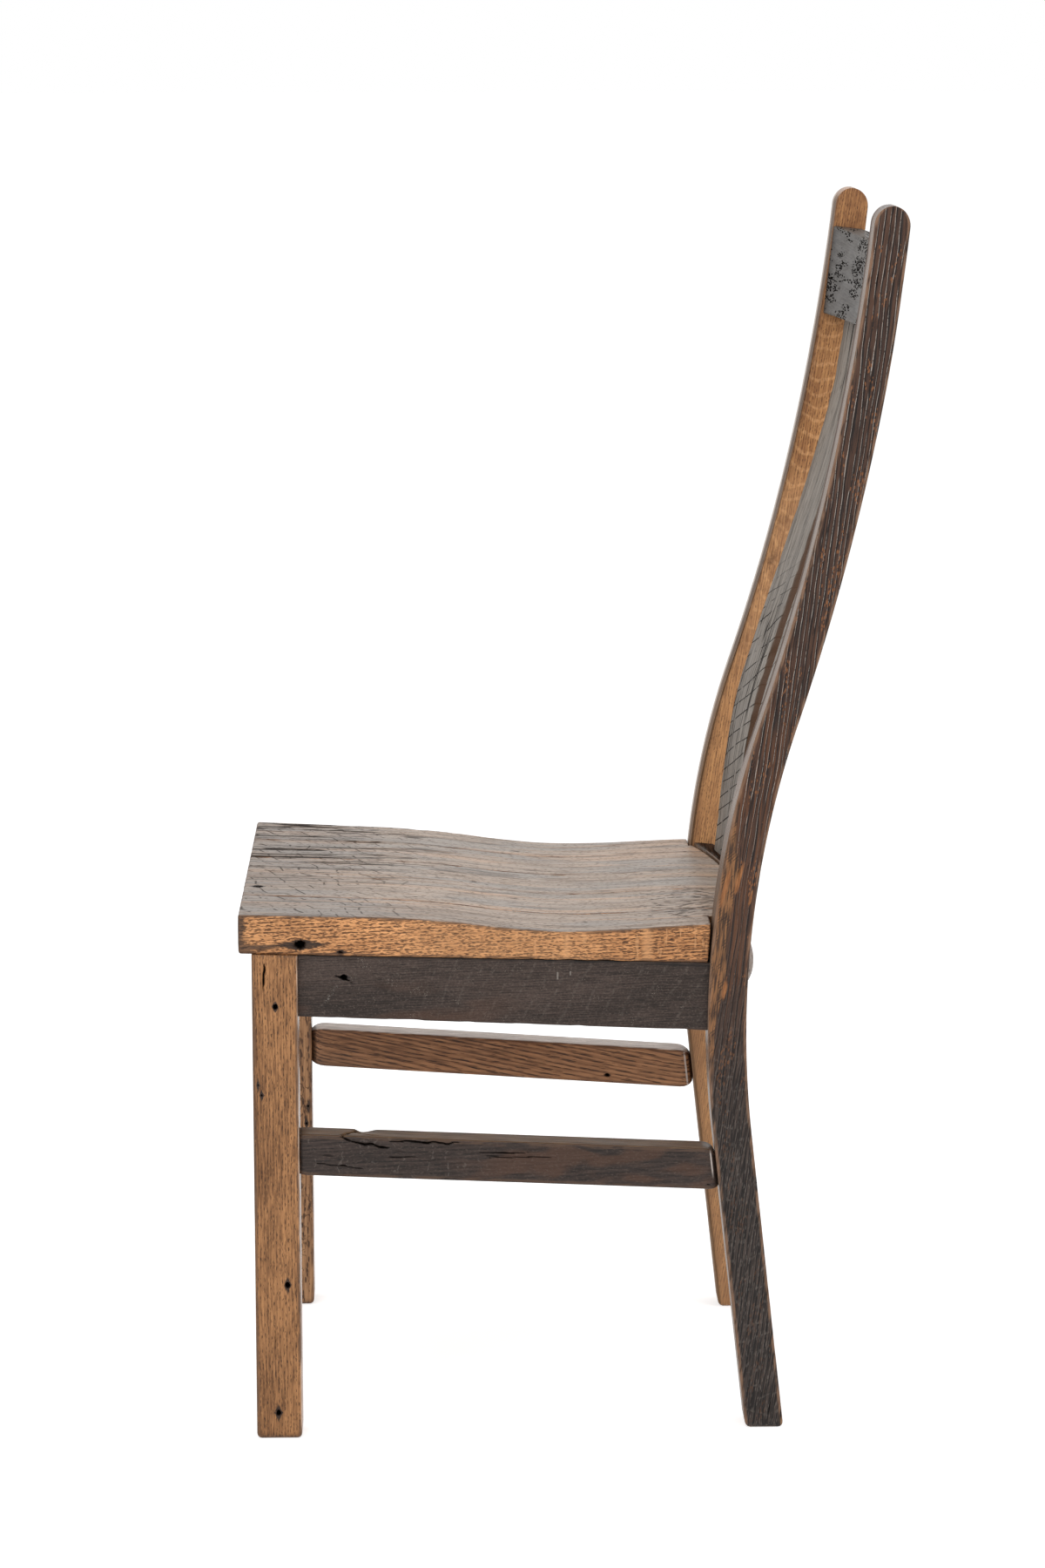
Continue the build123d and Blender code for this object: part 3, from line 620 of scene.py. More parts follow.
for side, turned, shift, lean, slot, groove, finish in (
        ("left", 1, 40, 0.13, "dark_oak", 0.4, near_post),
        ("right", -1, 63, 0.16, "honey_oak", 0.1, far_post)):
    wood = Wood(f"post_oak_{side}", (0, 1, 2), shift, lean)
    from_front = wood.place.field("off_front")
    front_face = (1.0 - wood.place.field("rough")) * from_front.fall(0, 10)
    finish(wood, wood.z, from_front, front_face)
    masks = {"off_front": off_front}
    if side == "left":
        masks["worn"] = worn_through
    board(f"rear_post_{side}", slot, wood, lambda along: post_path(along, turned),
          np.linspace(0, post_length, 520), ruler(post_half_wide, 1.3), ruler(post_depth / 2, 0.8),
          arris=1.5, ends=((6.5, 5), (0, 0)), masks=masks, sawn=0, groove=groove, fissures=0.35,
          chips=0.9)

# Side aprons: one board a side between leg and post, under the seat, with its bottom edge
# falling to the rear. The near one is weathered dark and keeps its saw marks and a nail hole.

apron_height, apron_slope, apron_half_thick, rail_rise = 54.7, np.radians(3.0), 10, 3.0
apron_inset, apron_half_high, apron_middle_level, apron_buried = 6, 30, 400, 2
front_width, rear_width = 457, 418
rail_top = (seat_height - (post_back(seat_height) - post_depth - seat_front) * np.tan(seat_slope)
            + rail_rise)
taper = np.arctan2((front_width - rear_width) / 2,
                   post_back(rail_top) - post_depth / 2 - leg_middle)
leg_back = leg_front + 2 * leg_half_deep
leg_run = (leg_back - leg_middle) / np.cos(taper)
apron_level = seat_under(leg_back) - apron_height + leg_run * np.tan(apron_slope)


def side_path(turned, inset, half_thick, top, bottom):
    """A board along one side: its middle runs back from the leg's, closing in by the taper, and
    its half depth is half of what lies between its top and bottom heights."""
    def path(along):
        """Run is the way along the side: the way back divided by the taper's cosine."""
        run = (along - leg_middle) / np.cos(taper)
        high, low, inward = top(along, run), bottom(along, run), inset + half_thick
        x = turned * (half_width - run * np.sin(taper) - inward * np.cos(taper))
        return ((x, along - inward * np.sin(taper), (high + low) / 2),
                (half_thick * turned * np.cos(taper), half_thick * np.sin(taper), 0),
                (0, 0, (high - low) / 2))
    return path


def meet_post(start, end, buried):
    """Stretch a side board along Y so that its rear end follows the leaning front of the post."""
    def shape(points):
        rear = post_back(points[..., 2]) - post_depth + buried
        points[..., 1] = start + (points[..., 1] - start) * (rear - start) / (end - start)
        return points
    return shape


nail = 79.4
apron_age = {
    "left": dict(holes=[((221, nail, 410.8), 2.4, 6, 6, 3.4)],
                 checks=[((220, 71, 414), (220, 86, 406), 0.8, 1.2)]),
    "right": dict(holes=[((-216, 200, 400), 1.9, 6, 5, 2.5)]),
}
for side, turned, shift in (("left", 1, 80), ("right", -1, 97)):
    wood = Wood(f"apron_oak_{side}", (0, 2, 1), shift)
    place, paint, y, z = wood.place, wood.paint, wood.y, wood.z
    wood.figure((76, 63, 57), (40, 32, 28), (22, 17, 15), ring=2.2, bend=2, dash=(0.8, 10),
                fill=0.36, mottle=0.7, streak=(1.3, 34))
    saw = ((y - z * 0.46) / 2.7 + place.bumps(140, 140, 1) * 14).sine()
    saw = saw.rise(0.8, 1) * place.bumps(4, 4, 14, 5).rise(0.40, 0.66)
    paint(saw * y.rise(leg_front + 90, leg_front + 200) * 0.22, (122, 112, 104))
    speck = place.bumps(1.4, 1.8, 83, 3)
    paint(speck.rise(0.5, 0.75) * 0.5, (100, 88, 81))
    paint(speck.fall(0.25, 0.5) * 0.5, (34, 27, 24))
    warm = place.bumps(30, 90, 3).rise(0.48, 0.62) * z.fall(385, 412)
    paint(warm * y.fall(leg_front + 150, leg_front + 260) * 0.45, (88, 62, 48))
    # A near-black band along the top edge, under the seat: painted shadow.
    under = seat_under(leg_front) - (y - leg_front) * np.tan(seat_slope) - z
    under = under - y.rise(leg_front + 300, leg_front + 400) * 2
    paint(under.fall(0.8, 3) * 0.9, (12, 9, 8))
    # Sparse pale specks: painted glints.
    fleck = place.dashes(1.5, 1.5, place.bumps(14, 14, 9.9).rise(0.5, 0.7) * 0.3)
    paint(fleck * 0.6, (140, 130, 120))
    if side == "left":
        trail = (y - (leg_front + 77)) - (z - 409) * 0.7
        trail = trail.within(-1.6, 1.6, 0.6) * z.within(386, 408, 1)
        trail = trail * place.bumps(1.3, 1.3, 29, 4).rise(0.54, 0.62)
        paint(trail * 0.5, (134, 128, 122))
        staple = y.within(leg_front + 263.4, leg_front + 264.8, 0.3) * z.within(406, 412.5, 0.6)
        staple = staple.either(y.within(leg_front + 274.6, leg_front + 275.8, 0.3)
                               * z.within(409.5, 413, 0.6))
        paint(staple * 0.6, (150, 142, 134))
    wood.varnish(0.46, 0.35, (64, 52, 46))
    start = leg_back - apron_buried
    end = post_back(apron_middle_level) - post_depth + apron_buried
    board(f"side_apron_{side}", "apron_oak", wood,
          side_path(turned, apron_inset, apron_half_thick, lambda along, run: seat_under(along),
                    lambda along, run: apron_level - run * np.tan(apron_slope)),
          ruler((end - leg_back + apron_buried) / 2, 2.2,
                [nail - 2 * leg_half_deep - (end - leg_back) / 2]) + (start + end) / 2,
          ruler(apron_half_thick, 1.6), ruler(apron_half_high, 1.1, [10]), arris=1.2,
          shape=meet_post(start, end, apron_buried), groove=0.15, fissures=0.2, **apron_age[side])

# Front apron: a straight board between the two front legs, hidden from the side. Its top edge
# lies under the seat's overhang and its ends are tenoned into the legs.

front_apron_middle, front_apron_half_long = leg_front + 16, 192
front_apron_low = seat_under(leg_back) - apron_height
front_apron_high = seat_under(front_apron_middle)
wood = Wood("apron_oak_front", (1, 2, 0), 111)
wood.figure((96, 78, 66), (60, 48, 41), (34, 27, 24), ring=2.8)
wood.varnish(0.46, 0.35, (70, 58, 52))
board("front_apron", "apron_oak", wood,
      lambda along: ((along, front_apron_middle, (front_apron_high + front_apron_low) / 2),
                     (0, apron_half_thick, 0), (0, 0, (front_apron_high - front_apron_low) / 2)),
      ruler(front_apron_half_long, 2.2), ruler(apron_half_thick, 1.6),
      ruler(apron_half_high, 1.2), arris=1.2,
      holes=[((60, 6, 395), 1.8, 6, 6, 3)])

# Side stretchers: one bar a side, tenoned low into leg and post. The maker softened their ends,
# more at the post. Painted shade darkens each end where it meets leg and post, a painted highlight
# lies on the rounded end at the post, and the far bar's top carries a painted sheen. The near bar
# is checked and has lost a chip.

stretcher_top, stretcher_slope, stretcher_inset = 272.2, np.radians(3.2), 4.25
stretcher_half_thick, stretcher_half_high, stretcher_middle_level = 15, 17.25, 240
stretcher_raised, stretcher_drop, stretcher_buried = 0.6, 36, 0.6
stretcher_level = stretcher_top + leg_run * np.tan(stretcher_slope)
stretcher_age = {
    "left": dict(checks=[
        ((221, 76, 270.5), (221, 84, 266), 1.1, 2.2), ((221, 82, 266), (221, 118, 259), 1.1, 2.6),
        ((221, 76, 270.5), (196, 92, 270.5), 1.2, 2), ((206, 86, 270), (214, 108, 269), 1, 1.6),
        ((219, 116, 264.5), (217, 182, 262), 1, 2.4), ((222, 55, 247), (221, 95, 241), 0.6, 1.3),
        ((218, 196, 254), (217, 240, 252), 0.6, 1.2), ((217, 205, 249), (215, 262, 248), 0.45, 0.8),
        ((216, 300, 247), (213, 392, 240), 0.5, 1.2), ((216, 330, 226), (213, 402, 221), 0.6, 1.4)
    ]),
    "right": dict(holes=[((-180, 322.1, 228.1), 1.7, 5, 4, 2)]),
}


def chip_out(points):
    """A splinter missing from the top's inner edge: that edge drops by a smooth bite along Y."""
    x, y = points[..., 0], points[..., 1] - leg_front
    bite = 2.6 * rise(y, 86, 93) * (1 - rise(y, 94, 108)) * (1 - rise(x, 196, 214))
    points[..., 2] -= bite * rise(points[..., 2], 262, 269)
    return points


for side, turned, shift, line, end_shade, fissures, smooth, ends in (
        ("left", 1, 130, (3.4, 4.6), (1.0, 3.5), 0.5, 0.32, ((9, 1.6), (10, 5))),
        ("right", -1, 151, (5.0, 6.6), (2.5, 5.5), 0.1, 0.24, ((14, 7), (13, 8)))):
    wood = Wood(f"stretcher_oak_{side}", (0, 2, 1), shift)
    place, paint, behind = wood.place, wood.paint, wood.y - leg_front
    up = place.field("up")
    along_top = place.bumps(2, 30, 4).rise(0.3, 0.7)
    if side == "left":
        wood.figure((68, 56, 51), (36, 29, 26), (20, 15, 13), ring=4, bend=3, dash=(0.8, 10),
                    fill=0.38, early=0.4, mottle=0.6)
        warm = place.bumps(16, 50, 13).rise(0.45, 0.6) * behind.rise(150, 230)
        paint(warm * 0.5, (88, 62, 48))
        paint(place.bumps(1.4, 2.6, 84, 3).rise(0.5, 0.75) * 0.4, (98, 84, 76))
        scuff = (behind / 4 + place.bumps(20, 20, 8) * 16).sine().rise(0.93, 1)
        scuff = scuff * place.bumps(4, 4, 81).rise(0.48, 0.6) * behind.fall(170, 220)
        paint(scuff * 0.28, (122, 112, 106))
        paint(up.rise(0.6, 0.9), along_top.blend((78, 62, 48), (118, 94, 71)))
        rub, end_highlight = (88, 68, 55), wood.z.rise(224, 236) * 0.85
    else:
        leaning = place.node("CombineXYZ", {0: wood.x, 1: wood.z + wood.y * 0.17, 2: wood.y})
        wood.figure((174, 126, 90), (102, 70, 49), (50, 33, 25), ring=4.2, bend=3.4,
                    dash=(1.2, 16), early=1.0, mottle=0.6, place=leaning)
        paint(behind.fall(40, 150) * wood.z.fall(228, 262) * 0.6, (84, 68, 58))
        # The top face nearly white: a painted sheen.
        paint(up.rise(0.6, 0.9), along_top.blend((186, 170, 158), (238, 226, 216)))
        rub, end_highlight = (110, 78, 58), 0.75
    to_post = place.field("to_post")
    # Darker where the bar meets the post: painted shade.
    paint(to_post.fall(1, 3.5) * 0.9, (24, 18, 15))
    # A pale line on the rounded end at the post: a painted highlight.
    paint(to_post.within(*line, 0.5) * up.fall(0.7, 0.9) * end_highlight, (226, 214, 206))
    # Darker where the bar meets the leg: painted shade.
    paint((behind - 2 * leg_half_deep).fall(*end_shade) * 0.7, (24, 18, 15))
    wood.varnish(0.38, smooth, rub)
    end = post_back(stretcher_middle_level) - post_depth + stretcher_buried
    meet = meet_post(leg_back - stretcher_buried, end, stretcher_buried)
    board(f"side_stretcher_{side}", "stretcher_oak", wood,
          side_path(turned, stretcher_inset, stretcher_half_thick, *(
              lambda along, run, level=level: level - run * np.tan(stretcher_slope)
              for level in (stretcher_level + stretcher_raised, stretcher_level - stretcher_drop))),
          ruler((end - leg_back) / 2 + stretcher_buried / 2, 1.6) + (leg_back + end) / 2,
          ruler(stretcher_half_thick, 1.1), ruler(stretcher_half_high, 0.8), arris=2.2, ends=ends,
          shape=(lambda points: chip_out(meet(points))) if side == "left" else meet,
          masks={"to_post": lambda points: -off_front(points)},
          sawn=0, fissures=fissures, groove=0.15, **stretcher_age[side])

# Crest rail and rear rail: two boards sawn to a bow and tenoned between the posts. They hold
# the ends of the slats. The crest is weathered dark grey with black pits, the rail is browner.

crest_level, crest_height, crest_setback, crest_bow = chair_height - 34.5, 81.5, 3.1, 18.0
crest_lean, rail_lean, rail_bow, rail_setback = np.radians(6.7), np.radians(4.0), 24.0, 4.0
post_inner, rail_half_long = post_middle - post_half_wide, 179


def bow_depth(bow, x):
    """Depth of an arc through both posts' inner faces behind its chord, at x."""
    radius = (post_inner ** 2 + bow ** 2) / (2 * bow)
    return np.sqrt(radius ** 2 - x ** 2) - radius + bow


for name, level, setback, lean, bow, half_thick, half_high, shift, light, dark, ease, dip in (
        ("crest_rail", crest_level, crest_setback, crest_lean, crest_bow, 13.5, crest_height / 2,
         170, (101, 96, 91), (66, 62, 59), 0.0, 3.2),
        ("rear_rail", rail_top, rail_setback, rail_lean, rail_bow, 12.0, 35.5,
         190, (134, 104, 80), (88, 66, 51), 5.0, 0.0)):
    wood = Wood(f"{name}_oak", (1, 2, 0), shift)
    place, paint = wood.place, wood.paint
    wood.figure(light, dark, (34, 30, 28), ring=3, bend=3, dash=(0.8, 8), fill=0.2, early=0.3)
    crowd = place.bumps(10, 60, 41.3).rise(0.45, 0.55) * (0.55 if name == "crest_rail" else 0.3)
    if name == "crest_rail":
        corner = (wood.z - level) * 0.05 + (wood.x + 110) * 0.02
        corner = corner.rise(-0.6, 1.2) * wood.x.fall(20, 90)
        crowd = (crowd * (1.0 - wood.x.rise(20, 90) * 0.4)).either(corner * 0.56)
        # Darker beside the far post: painted shadow.
        paint(wood.x.fall(-171, -150) * 0.6, (40, 36, 34))
        shady = wood.x.fall(-150, 40) * 0.22
        shady = shady.either(wood.z.rise(level - 18, level - 2) * 0.4)
        paint(shady, (56, 52, 50))
        waved = wood.z + place.bumps(60, 90, 42) * 26
        crowd = crowd.either(waved.within(level - 33.6, level - 31.8, 0.5) * 0.6)
    pits = place.dashes(1.5, 7, crowd, 17.7)
    paint(pits * 0.95, (14, 12, 11))
    wood.height = wood.height - pits * 1.2
    if name == "rear_rail":
        # The top face darker and dull: its own darker colour and painted shade under the slats.
        top = place.field("up").rise(0.6, 0.9)
        paint(top, place.bumps(2, 30, 4).rise(0.3, 0.7).blend((44, 33, 27), (74, 54, 41)))
        pits = pits.either(top)
    wood.varnish(0.4, 0.4, (84, 78, 72), dull=pits)

    def rail_path(along):
        """Sections across the chair that lean back by the rail's angle and follow its bow."""
        back = np.array([0, np.cos(lean), -np.sin(lean)])
        up = np.array([0, np.sin(lean), np.cos(lean)])
        origin = np.array([0, post_back(level) - post_depth + setback, level])
        depth = (bow_depth(bow, along) + half_thick)[:, None]
        _, y, z = (origin + depth * back - half_high * up).T
        return (along, y, z), back * half_thick, up * half_high

    def ease_back(points):
        """Plane the rail's rear face back above its foot, and dip its top toward the middle."""
        x = points[..., 0]
        face = (post_back(level) - post_depth + setback
                + bow_depth(bow, x.clip(-post_inner, post_inner)))
        behind = rise(points[..., 1] - face, half_thick * 0.4, half_thick * 1.6)
        points[..., 1] -= ease * behind * rise(points[..., 2], level - 69, level - 50)
        share = np.clip(1 - (x / post_inner) ** 2, 0, 1)
        points[..., 2] -= dip * share * rise(points[..., 2], level - 20, level)
        return points

    board(name, "grey_oak", wood, rail_path, ruler(rail_half_long, 2.0), ruler(half_thick, 1.4),
          ruler(half_high, 1.1), arris=1.8, shape=ease_back, groove=0.1, wave=0.2, fissures=0.2)

# Back slats: three thin boards bent forward for the small of the back, housed in both rails.
# They keep the circular saw's slanting marks, and fine grooves along the grain darkened by painted
# shade.

slat_half_wide, slat_half_thick, slat_tongue, slat_bow = 37.5, 5, 11, 14.8
slat_foot_back, slat_head_back = 8.6, 12.9
slat_pitch = 2 * slat_half_wide + (2 * post_inner - 6 * slat_half_wide) / 4
slat_rise = np.array([0.0, 0.16, 0.29, 0.42, 0.57, 0.73, 0.87, 1.0])
slat_bend = np.array([0.0, -0.69, -1.0, -0.74, -0.28, 0.15, 0.29, 0.0])


def through(knots, values, at):
    """A smooth curve through the knots: cubic pieces whose slopes are the mean of their
    neighbours', and straight beyond both ends."""
    step = np.diff(values) / np.diff(knots)
    slopes = np.concatenate([[step[0]], (step[1:] + step[:-1]) / 2, [step[-1]]])
    piece = np.clip(np.searchsorted(knots, at) - 1, 0, len(knots) - 2)
    width = knots[piece + 1] - knots[piece]
    share = ((at - knots[piece]) / width).clip(0, 1)
    low, high = values[piece], values[piece + 1]
    first, last = slopes[piece] * width, slopes[piece + 1] * width
    inside = ((2 * share ** 3 - 3 * share ** 2 + 1) * low + (3 * share ** 2 - 2 * share ** 3) * high
              + (share ** 3 - 2 * share ** 2 + share) * first + (share ** 3 - share ** 2) * last)
    below = np.minimum(at - knots[0], 0) * slopes[0]
    above = np.maximum(at - knots[-1], 0) * slopes[-1]
    return inside + below + above


for number in (1, 2, 3):
    center, own = (number - 2) * slat_pitch, 31.0 * (number - 1)
    edges = center + np.array([-slat_half_wide, slat_half_wide])
    foot, head = bow_depth(rail_bow, edges), bow_depth(crest_bow, edges)
    turn = np.arctan2((foot[1] + head[1] - foot[0] - head[0]) / 2, 2 * slat_half_wide)
    foot_y = post_back(rail_top) - post_depth + rail_setback + foot.mean() + slat_foot_back
    head_z = crest_level - crest_height * np.cos(crest_lean)
    head_y = (post_back(crest_level) - post_depth + crest_setback
              - crest_height * np.sin(crest_lean) + head.mean() + slat_head_back)

    def slat_path(along):
        """Straight up from rail to rail, plus the bow times the bend's curve there."""
        share = along / (head_z - rail_top)
        bend = slat_bow * through(slat_rise, slat_bend, share)
        return ((center, foot_y + share * (head_y - foot_y) + bend + slat_half_thick,
                 rail_top + along),
                (slat_half_wide, slat_half_wide * np.tan(turn), 0), (0, slat_half_thick, 0))

    wood = Wood(f"slat_oak_{number}", (0, 1, 2), 200 + 17 * number)
    place, paint, upwards = wood.place, wood.paint, wood.z
    flat = place.node("CombineXYZ", {0: wood.y * 0.1, 1: wood.x, 2: upwards})
    wood.figure((142, 133, 123), (106, 98, 90), (42, 37, 34), ring=9, bend=3, dash=(1.6, 14),
                fill=0.3, early=0.4, streak=(8, 60), place=flat)
    # Fine black lines along the grain: shallow grooves in the bump, darkened by painted shade.
    line = flat.bumps(9, 220, 5.5 + own, 1).within(0.484, 0.516, 0.008)
    line = line.either(flat.bumps(9, 220, 65.5 + own, 1).within(0.41, 0.43, 0.008))
    line = line * flat.bumps(24, 90, 21.3 + own).rise(0.42, 0.52)
    line = line * (1.0 - upwards.within(690, 880, 30) * 0.6)
    paint(line * 0.9, (26, 22, 20))
    mark = ((upwards - wood.x * 0.43) / 2.3 + place.bumps(300, 60, 3 + own) * 14).sine()
    mark = mark.rise(0.93, 1) * place.bumps(40, 9, 16 + own).rise(0.38, 0.48)
    mark = mark * upwards.fall(680, 760)
    paint(mark * 0.95, (26, 22, 20))
    paint(place.field("aside").rise(0.5, 0.9), (88, 66, 52))
    wood.height = wood.height - line * 0.8 - mark * 0.5
    wood.varnish(0.4, 0.4, (84, 66, 54), dull=line.either(mark) * 0.8)
    board(f"back_slat_{number}", "grey_oak", wood, slat_path,
          np.linspace(-slat_tongue, head_z - rail_top + slat_tongue, 250),
          ruler(slat_half_wide, 1.1), ruler(slat_half_thick, 1.5), arris=1.5,
          fissures=0.2, wave=0.15, groove=0.1)

# Seat: five planks glued edge to edge, flat in front and scooped two thirds back. The sawn
# side shows raw orange oak with open pores, and the top is brown grey under satin varnish.

plank_width, seat_front_half, seat_rear_half, scoop_depth = 90.6, 226.5, 204, 8.9
scoop_runs = np.array([0.12, 0.30, 0.44, 0.555, 0.665, 0.80, 0.90, 0.99, 1.10])
scoop_drops = np.array([0.0, 0.0, 0.28, 0.75, 1.0, 0.74, 0.33, 0.0, 0.0])
notch_half_wide, rail_lap, post_lap, near_post_lap = 169, 2, 5.0, 6.7
seat_depth = post_back(rail_top) - post_depth - seat_front
seat_middle = seat_front + seat_depth / 2
rail_face = post_back(rail_top) - post_depth + rail_setback
seat_half_thick = seat_thickness / 2 / np.cos(seat_slope)
plank_holes = {4: [((96.4, 1.5, 467.5), 3.4, 5, 9, 7)],
               5: [((224, 41.8, 440.6), 3.7, 8, 27, 5.6), ((222.3, 76.4, 433.2), 1.5, 2, 6, 3.6)]}
plank_spots = {4: [leg_front + 1.5 - seat_middle], 5: [leg_front + 41.8 - seat_middle]}


def seat_side(y):
    """Half width of the seat at y: it narrows in a straight line to the posts."""
    return seat_front_half - (seat_front_half - seat_rear_half) * (y - seat_front) / seat_depth


def raw_side(wood):
    """The sawn side: orange oak with open pores and cleaner patches, a dirty old face at the
    front end, and the rings of the plank's end grain in front."""
    place, paint, behind, level = wood.place, wood.paint, wood.y - leg_front, wood.z
    wood.figure((228, 165, 111), (158, 107, 67), (48, 30, 22), ring=3, bend=0.5, dash=(1.25, 6),
                fill=0.58, early=0.25, mottle=0.8, streak=(1.6, 14))
    paint(behind.fall(30, 110) * 0.14, (110, 76, 50))
    paint(behind.within(130, 300, 40) * 0.22, (246, 188, 134))
    paint(place.dashes(1, 4.6, 0.42, 72 + wood.shift) * 0.75, (66, 42, 30))
    clean = behind.within(270, 274, 2).either(behind.within(338, 346, 3))
    clean = clean.either(place.bumps(24, 5, 58).rise(0.62, 0.68) * behind.rise(200, 260))
    paint(clean * 0.5, (214, 160, 112))
    old = (-5.5 - behind + (place.bumps(4, 4, 55) - 0.5) * 16 + (444.0 - level).rise(0, 12) * 8)
    old = old.either((level.within(437, 441.2, 1.2) * behind.fall(10, 34) - 0.5) * 8)
    paint(old.rise(-3, 3) * 0.85,
          place.bumps(2, 9, 56, 4).rise(0.3, 0.7).blend((40, 32, 29), (88, 68, 55)))
    rings = ((level + place.bumps((70, 30), 200, 57) * 60) / 0.55).sine().rise(0, 1)
    rings = (rings * 0.5).either(place.dashes(1, 9, 0.4, 59) * 0.8)
    paint(behind.fall(-11, -8.5) * rings * 0.7, (44, 32, 25))


def worn_top(wood):
    """The sanded top: brown streaks and grey streaks of painted sheen, with black lines, cracks,
    pores and saw marks that crowd towards the front, and painted shade at the front and towards the
    near side. Returns the black marks and the streaks."""
    paint, x, behind, shift = wood.paint, wood.x, wood.y - leg_front, wood.shift
    flat = wood.place.node("CombineXYZ", {0: wood.z * 0.3, 1: x, 2: wood.y})
    tone = flat.bumps(3, 60, shift + 5, 5)
    wood.color = ((tone - 0.5) * 1.5 + 0.5).blend((112, 98, 88), (208, 186, 167))
    # Grey streaks: painted sheen.
    paint(flat.bumps(34, 150, 77 + shift).rise(0.44, 0.6) * 0.55, (146, 142, 138))
    paint(flat.bumps(12, 200, 39 + shift).rise(0.54, 0.62) * 0.3, (212, 168, 132))
    front_share = behind.fall(60, 230)
    busy = front_share * x.fall(-60, 120)
    lines = flat.bumps(16, 300, 95, 1).within(0.478, 0.522, 0.008)
    lines = lines.either(flat.bumps(16, 300, 15, 1).within(0.392, 0.426, 0.008))
    lines = lines * flat.bumps(8, 50, 96).rise(0.42, 0.48) * (busy * 0.65 + 0.3)
    open_share = flat.bumps(30, 90, 5).rise(0.42, 0.62) * 0.12 + busy * 0.17 + 0.04
    cracks = flat.dashes(2.8, 26, open_share, 9)
    crowded = behind.rise(300, 370) * x.within(30, 200, 50)
    cracks = cracks.either(flat.dashes(3, 12, crowded * 0.38, 29))
    saw = ((behind * 2.2 - x) / 6 + flat.bumps(80, 80, 23) * 20).sine().rise(0.85, 1)
    saw = saw * flat.bumps(14, 14, 24).rise(0.47, 0.56) * (front_share * 0.9 + 0.1)
    # Darker at the front and towards the near side: painted shade.
    front_and_side_shade = behind.fall(20, 150).either(x.rise(80, 215)) * (1.0 - behind.rise(150, 260) * 0.5)
    paint(front_and_side_shade * 0.36, (90, 81, 76))
    black = lines.either(cracks).either(flat.dashes(2, 7, 0.3, 19) * 0.65).either(saw * 0.7)
    paint(black, (26, 20, 17))
    return black, tone


for number in range(1, 6):
    inner, outer = (number - 3.5) * plank_width, (number - 2.5) * plank_width
    wood = Wood(f"seat_oak_{number}", (0, 2, 1), 260 + 23 * number)
    raw_side(wood)
    side_color, top = wood.color, wood.place.field("up").rise(0.4, 0.8)
    black, tone = worn_top(wood)
    wood.color = top.blend(side_color, wood.color)
    wood.height = wood.height * (1.0 - top) + (tone * 0.6 - black * 0.8) * top
    wood.varnish(0.36, 0.3, (96, 70, 52), dull=black * top * 0.9)

    def seat_shape(points):
        """Narrow the outer planks, sink the scoop, and end each plank at the rail or the post."""
        x, y, z = np.moveaxis(points, -1, 0)
        limit = seat_side(y)
        if number == 5:
            x = inner + (x - inner) * (limit - inner) / (outer - inner)
        if number == 1:
            x = outer - (outer - x) * (limit + outer) / (outer - inner)
        notch = notch_half_wide - 0.1
        at_rail = rail_face + bow_depth(rail_bow, np.clip(x, -notch, notch)) - rail_lap
        at_post = rail_face - (near_post_lap if number == 5 else post_lap)
        behind = np.where(abs(x) > notch_half_wide, at_post, at_rail)
        behind = behind + (z - rail_top) * np.tan(rail_lean)
        y = seat_front + (y - seat_front) * (behind - seat_front) / seat_depth
        above = rise(z - (seat_height - (y - seat_front) * np.tan(seat_slope)), -30, -3)
        scoop = through(scoop_runs, scoop_drops, (y - seat_front) / seat_depth)
        return np.stack([x, y, z - scoop_depth * np.maximum(scoop, 0) * above], -1)

    board(f"seat_board_{number}", "seat_oak", wood,
          lambda along: (((inner + outer) / 2, along, seat_height - seat_half_thick
                          - (along - seat_front) * np.tan(seat_slope)),
                         (plank_width / 2, 0, 0), (0, 0, seat_half_thick)),
          ruler(seat_depth / 2, 2.2, plank_spots.get(number, [])) + seat_middle,
          ruler(plank_width / 2, 1.3), ruler(seat_thickness / 2, 1.3),
          arris=1.6 if number in (1, 5) else 0.5, ends=((2.5, 2.5), (1, 1)), shape=seat_shape,
          fissures=0.3, groove=0.12, wave=0.2, holes=plank_holes.get(number, []))

# Corner blocks and screws: plain softwood triangles glued and screwed into the four corners
# under the seat, and zinc-plated pan-head screws. Both are the frame's own solids.

for corner in ("front_left", "front_right", "rear_left", "rear_right"):
    wood = Wood(f"block_wood_{corner}", (1, 2, 0), 5)
    wood.figure((206, 172, 128), (176, 136, 94), (140, 100, 68), ring=4.5, fill=0.2)
    bumped = wood.place.node("Bump", {"Strength": 0.3, "Distance": 0.0005, "Height": wood.height})
    wood.place.node("OutputMaterial", {0: wood.place.node("BsdfPrincipled", {
        "Base Color": wood.color, "Roughness": 0.7, "Normal": bumped})})
    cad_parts[f"corner_block_{corner}"].data.materials[0] = wood.material

zinc = bpy.data.materials.new("zinc")
place = bare_tree(zinc).node("TexCoord", output=3)
cloud = place.node("TexNoise", {"Vector": place, "Scale": 900.0, "Detail": 3.0})
place.node("OutputMaterial", {0: place.node("BsdfPrincipled", {
    "Base Color": cloud.rise(0.3, 0.7).blend((176, 174, 166), (206, 204, 196)),
    "Metallic": 1.0, "Roughness": cloud * 0.2 + 0.25})})
for node in ("apron_screws", "seat_screws"):
    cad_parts[node].data.materials[0] = zinc

# Studio: a pale floor that keeps the chair's shadow, a white world, soft lamps overhead and on
# both sides, and the camera where the photograph was taken.

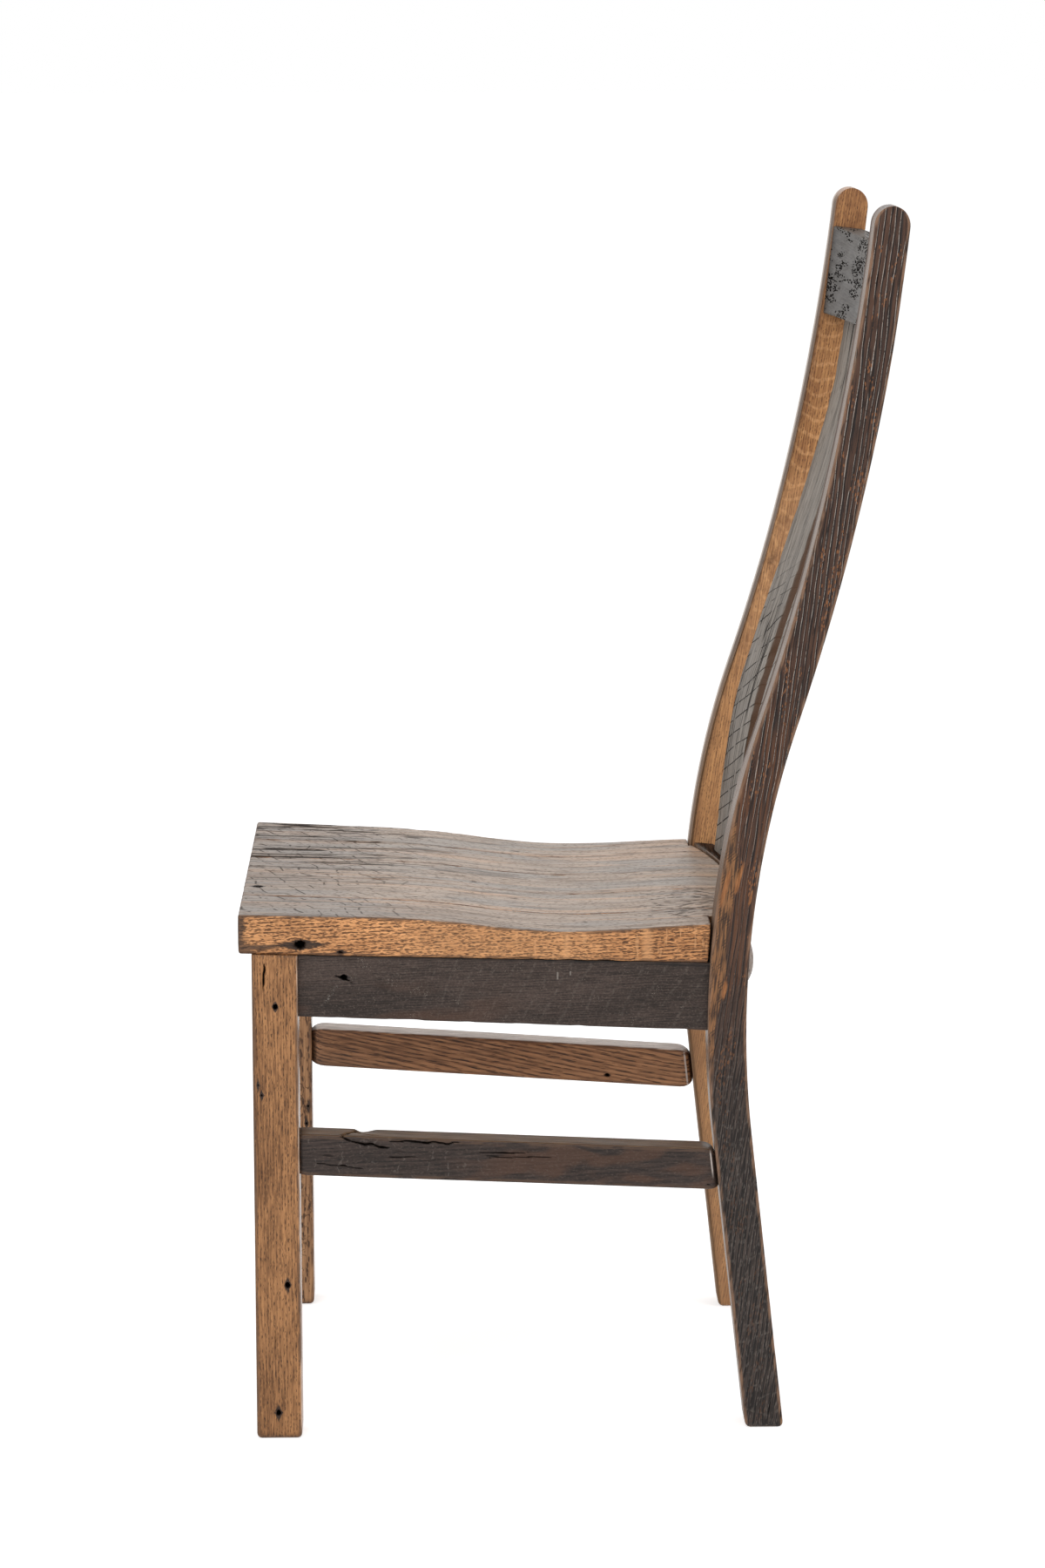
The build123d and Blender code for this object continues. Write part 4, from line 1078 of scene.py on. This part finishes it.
floor_mesh = bpy.data.meshes.new("floor")
floor_mesh.from_pydata([(-60, -60, 0), (60, -60, 0), (60, 60, 0), (-60, 60, 0)], [], [(0, 1, 2, 3)])
floor = add_object("floor", floor_mesh)
pale = bpy.data.materials.new("pale_floor")
floor_mesh.materials.append(pale)
world = bpy.data.worlds.new("studio")
bpy.context.scene.world = world


def seen_directly(shade):
    """1 for rays from the camera, and for those that come by way of gloss or glass."""
    camera_ray, glossy, clear = (shade.node("LightPath", output=output) for output in (0, 3, 6))
    return camera_ray.either(glossy).either(clear)


shade = bare_tree(pale)
matte = shade.node("BsdfDiffuse", {"Color": (0.82, 0.82, 0.82, 1)})
glow = shade.node("Emission", {"Color": (1, 1, 1, 1), "Strength": seen_directly(shade) * 0.62})
shade.node("OutputMaterial", {0: shade.node("AddShader", {0: matte, 1: glow})})
shade = bare_tree(world)
sky = shade.node("Background", {"Color": (1, 1, 1, 1),
                                "Strength": seen_directly(shade) * 0.45 + 0.55})
shade.node("OutputWorld", {0: sky})

for name, place, size, power in (("overhead", (0.4, 0.0, 2.6), 2.4, 24),
                                 ("camera_side", (2.8, -1.2, 1.6), 2.0, 30),
                                 ("rear_side", (1.6, 2.6, 1.9), 1.6, 16)):
    lamp = bpy.data.lights.new(name, "AREA")
    lamp.shape, lamp.size, lamp.energy = "SQUARE", size, power
    aim = (Vector((0, 0, 0.5)) - Vector(place)).to_track_quat("-Z", "Y").to_matrix().to_4x4()
    add_object(name, lamp).matrix_world = Matrix.Translation(place) @ aim

lens = bpy.data.cameras.new("camera")
camera = add_object("camera", lens)
bpy.context.scene.camera = camera
picture_height, focal_length = 1800, 5244.47
lens.sensor_width, lens.lens = 36.0, 36.0 * focal_length / picture_height
pitch, yaw, roll = 0.16957, 0.019799, -0.0021619
forward = Vector((-np.cos(pitch) * np.cos(yaw), np.cos(pitch) * np.sin(yaw), -np.sin(pitch)))
right = forward.cross(Vector((0, 0, 1))).normalized()
up = right.cross(forward)
right, up = right * np.cos(roll) + up * np.sin(roll), up * np.cos(roll) - right * np.sin(roll)
turned = Matrix((right, up, -forward)).transposed().to_4x4()
eye = Vector((4.0793, 0.15745 + leg_front * 0.001, 1.24037))
camera.matrix_world = Matrix.Translation(eye) @ turned
bpy.context.scene.view_settings.view_transform = "Standard"
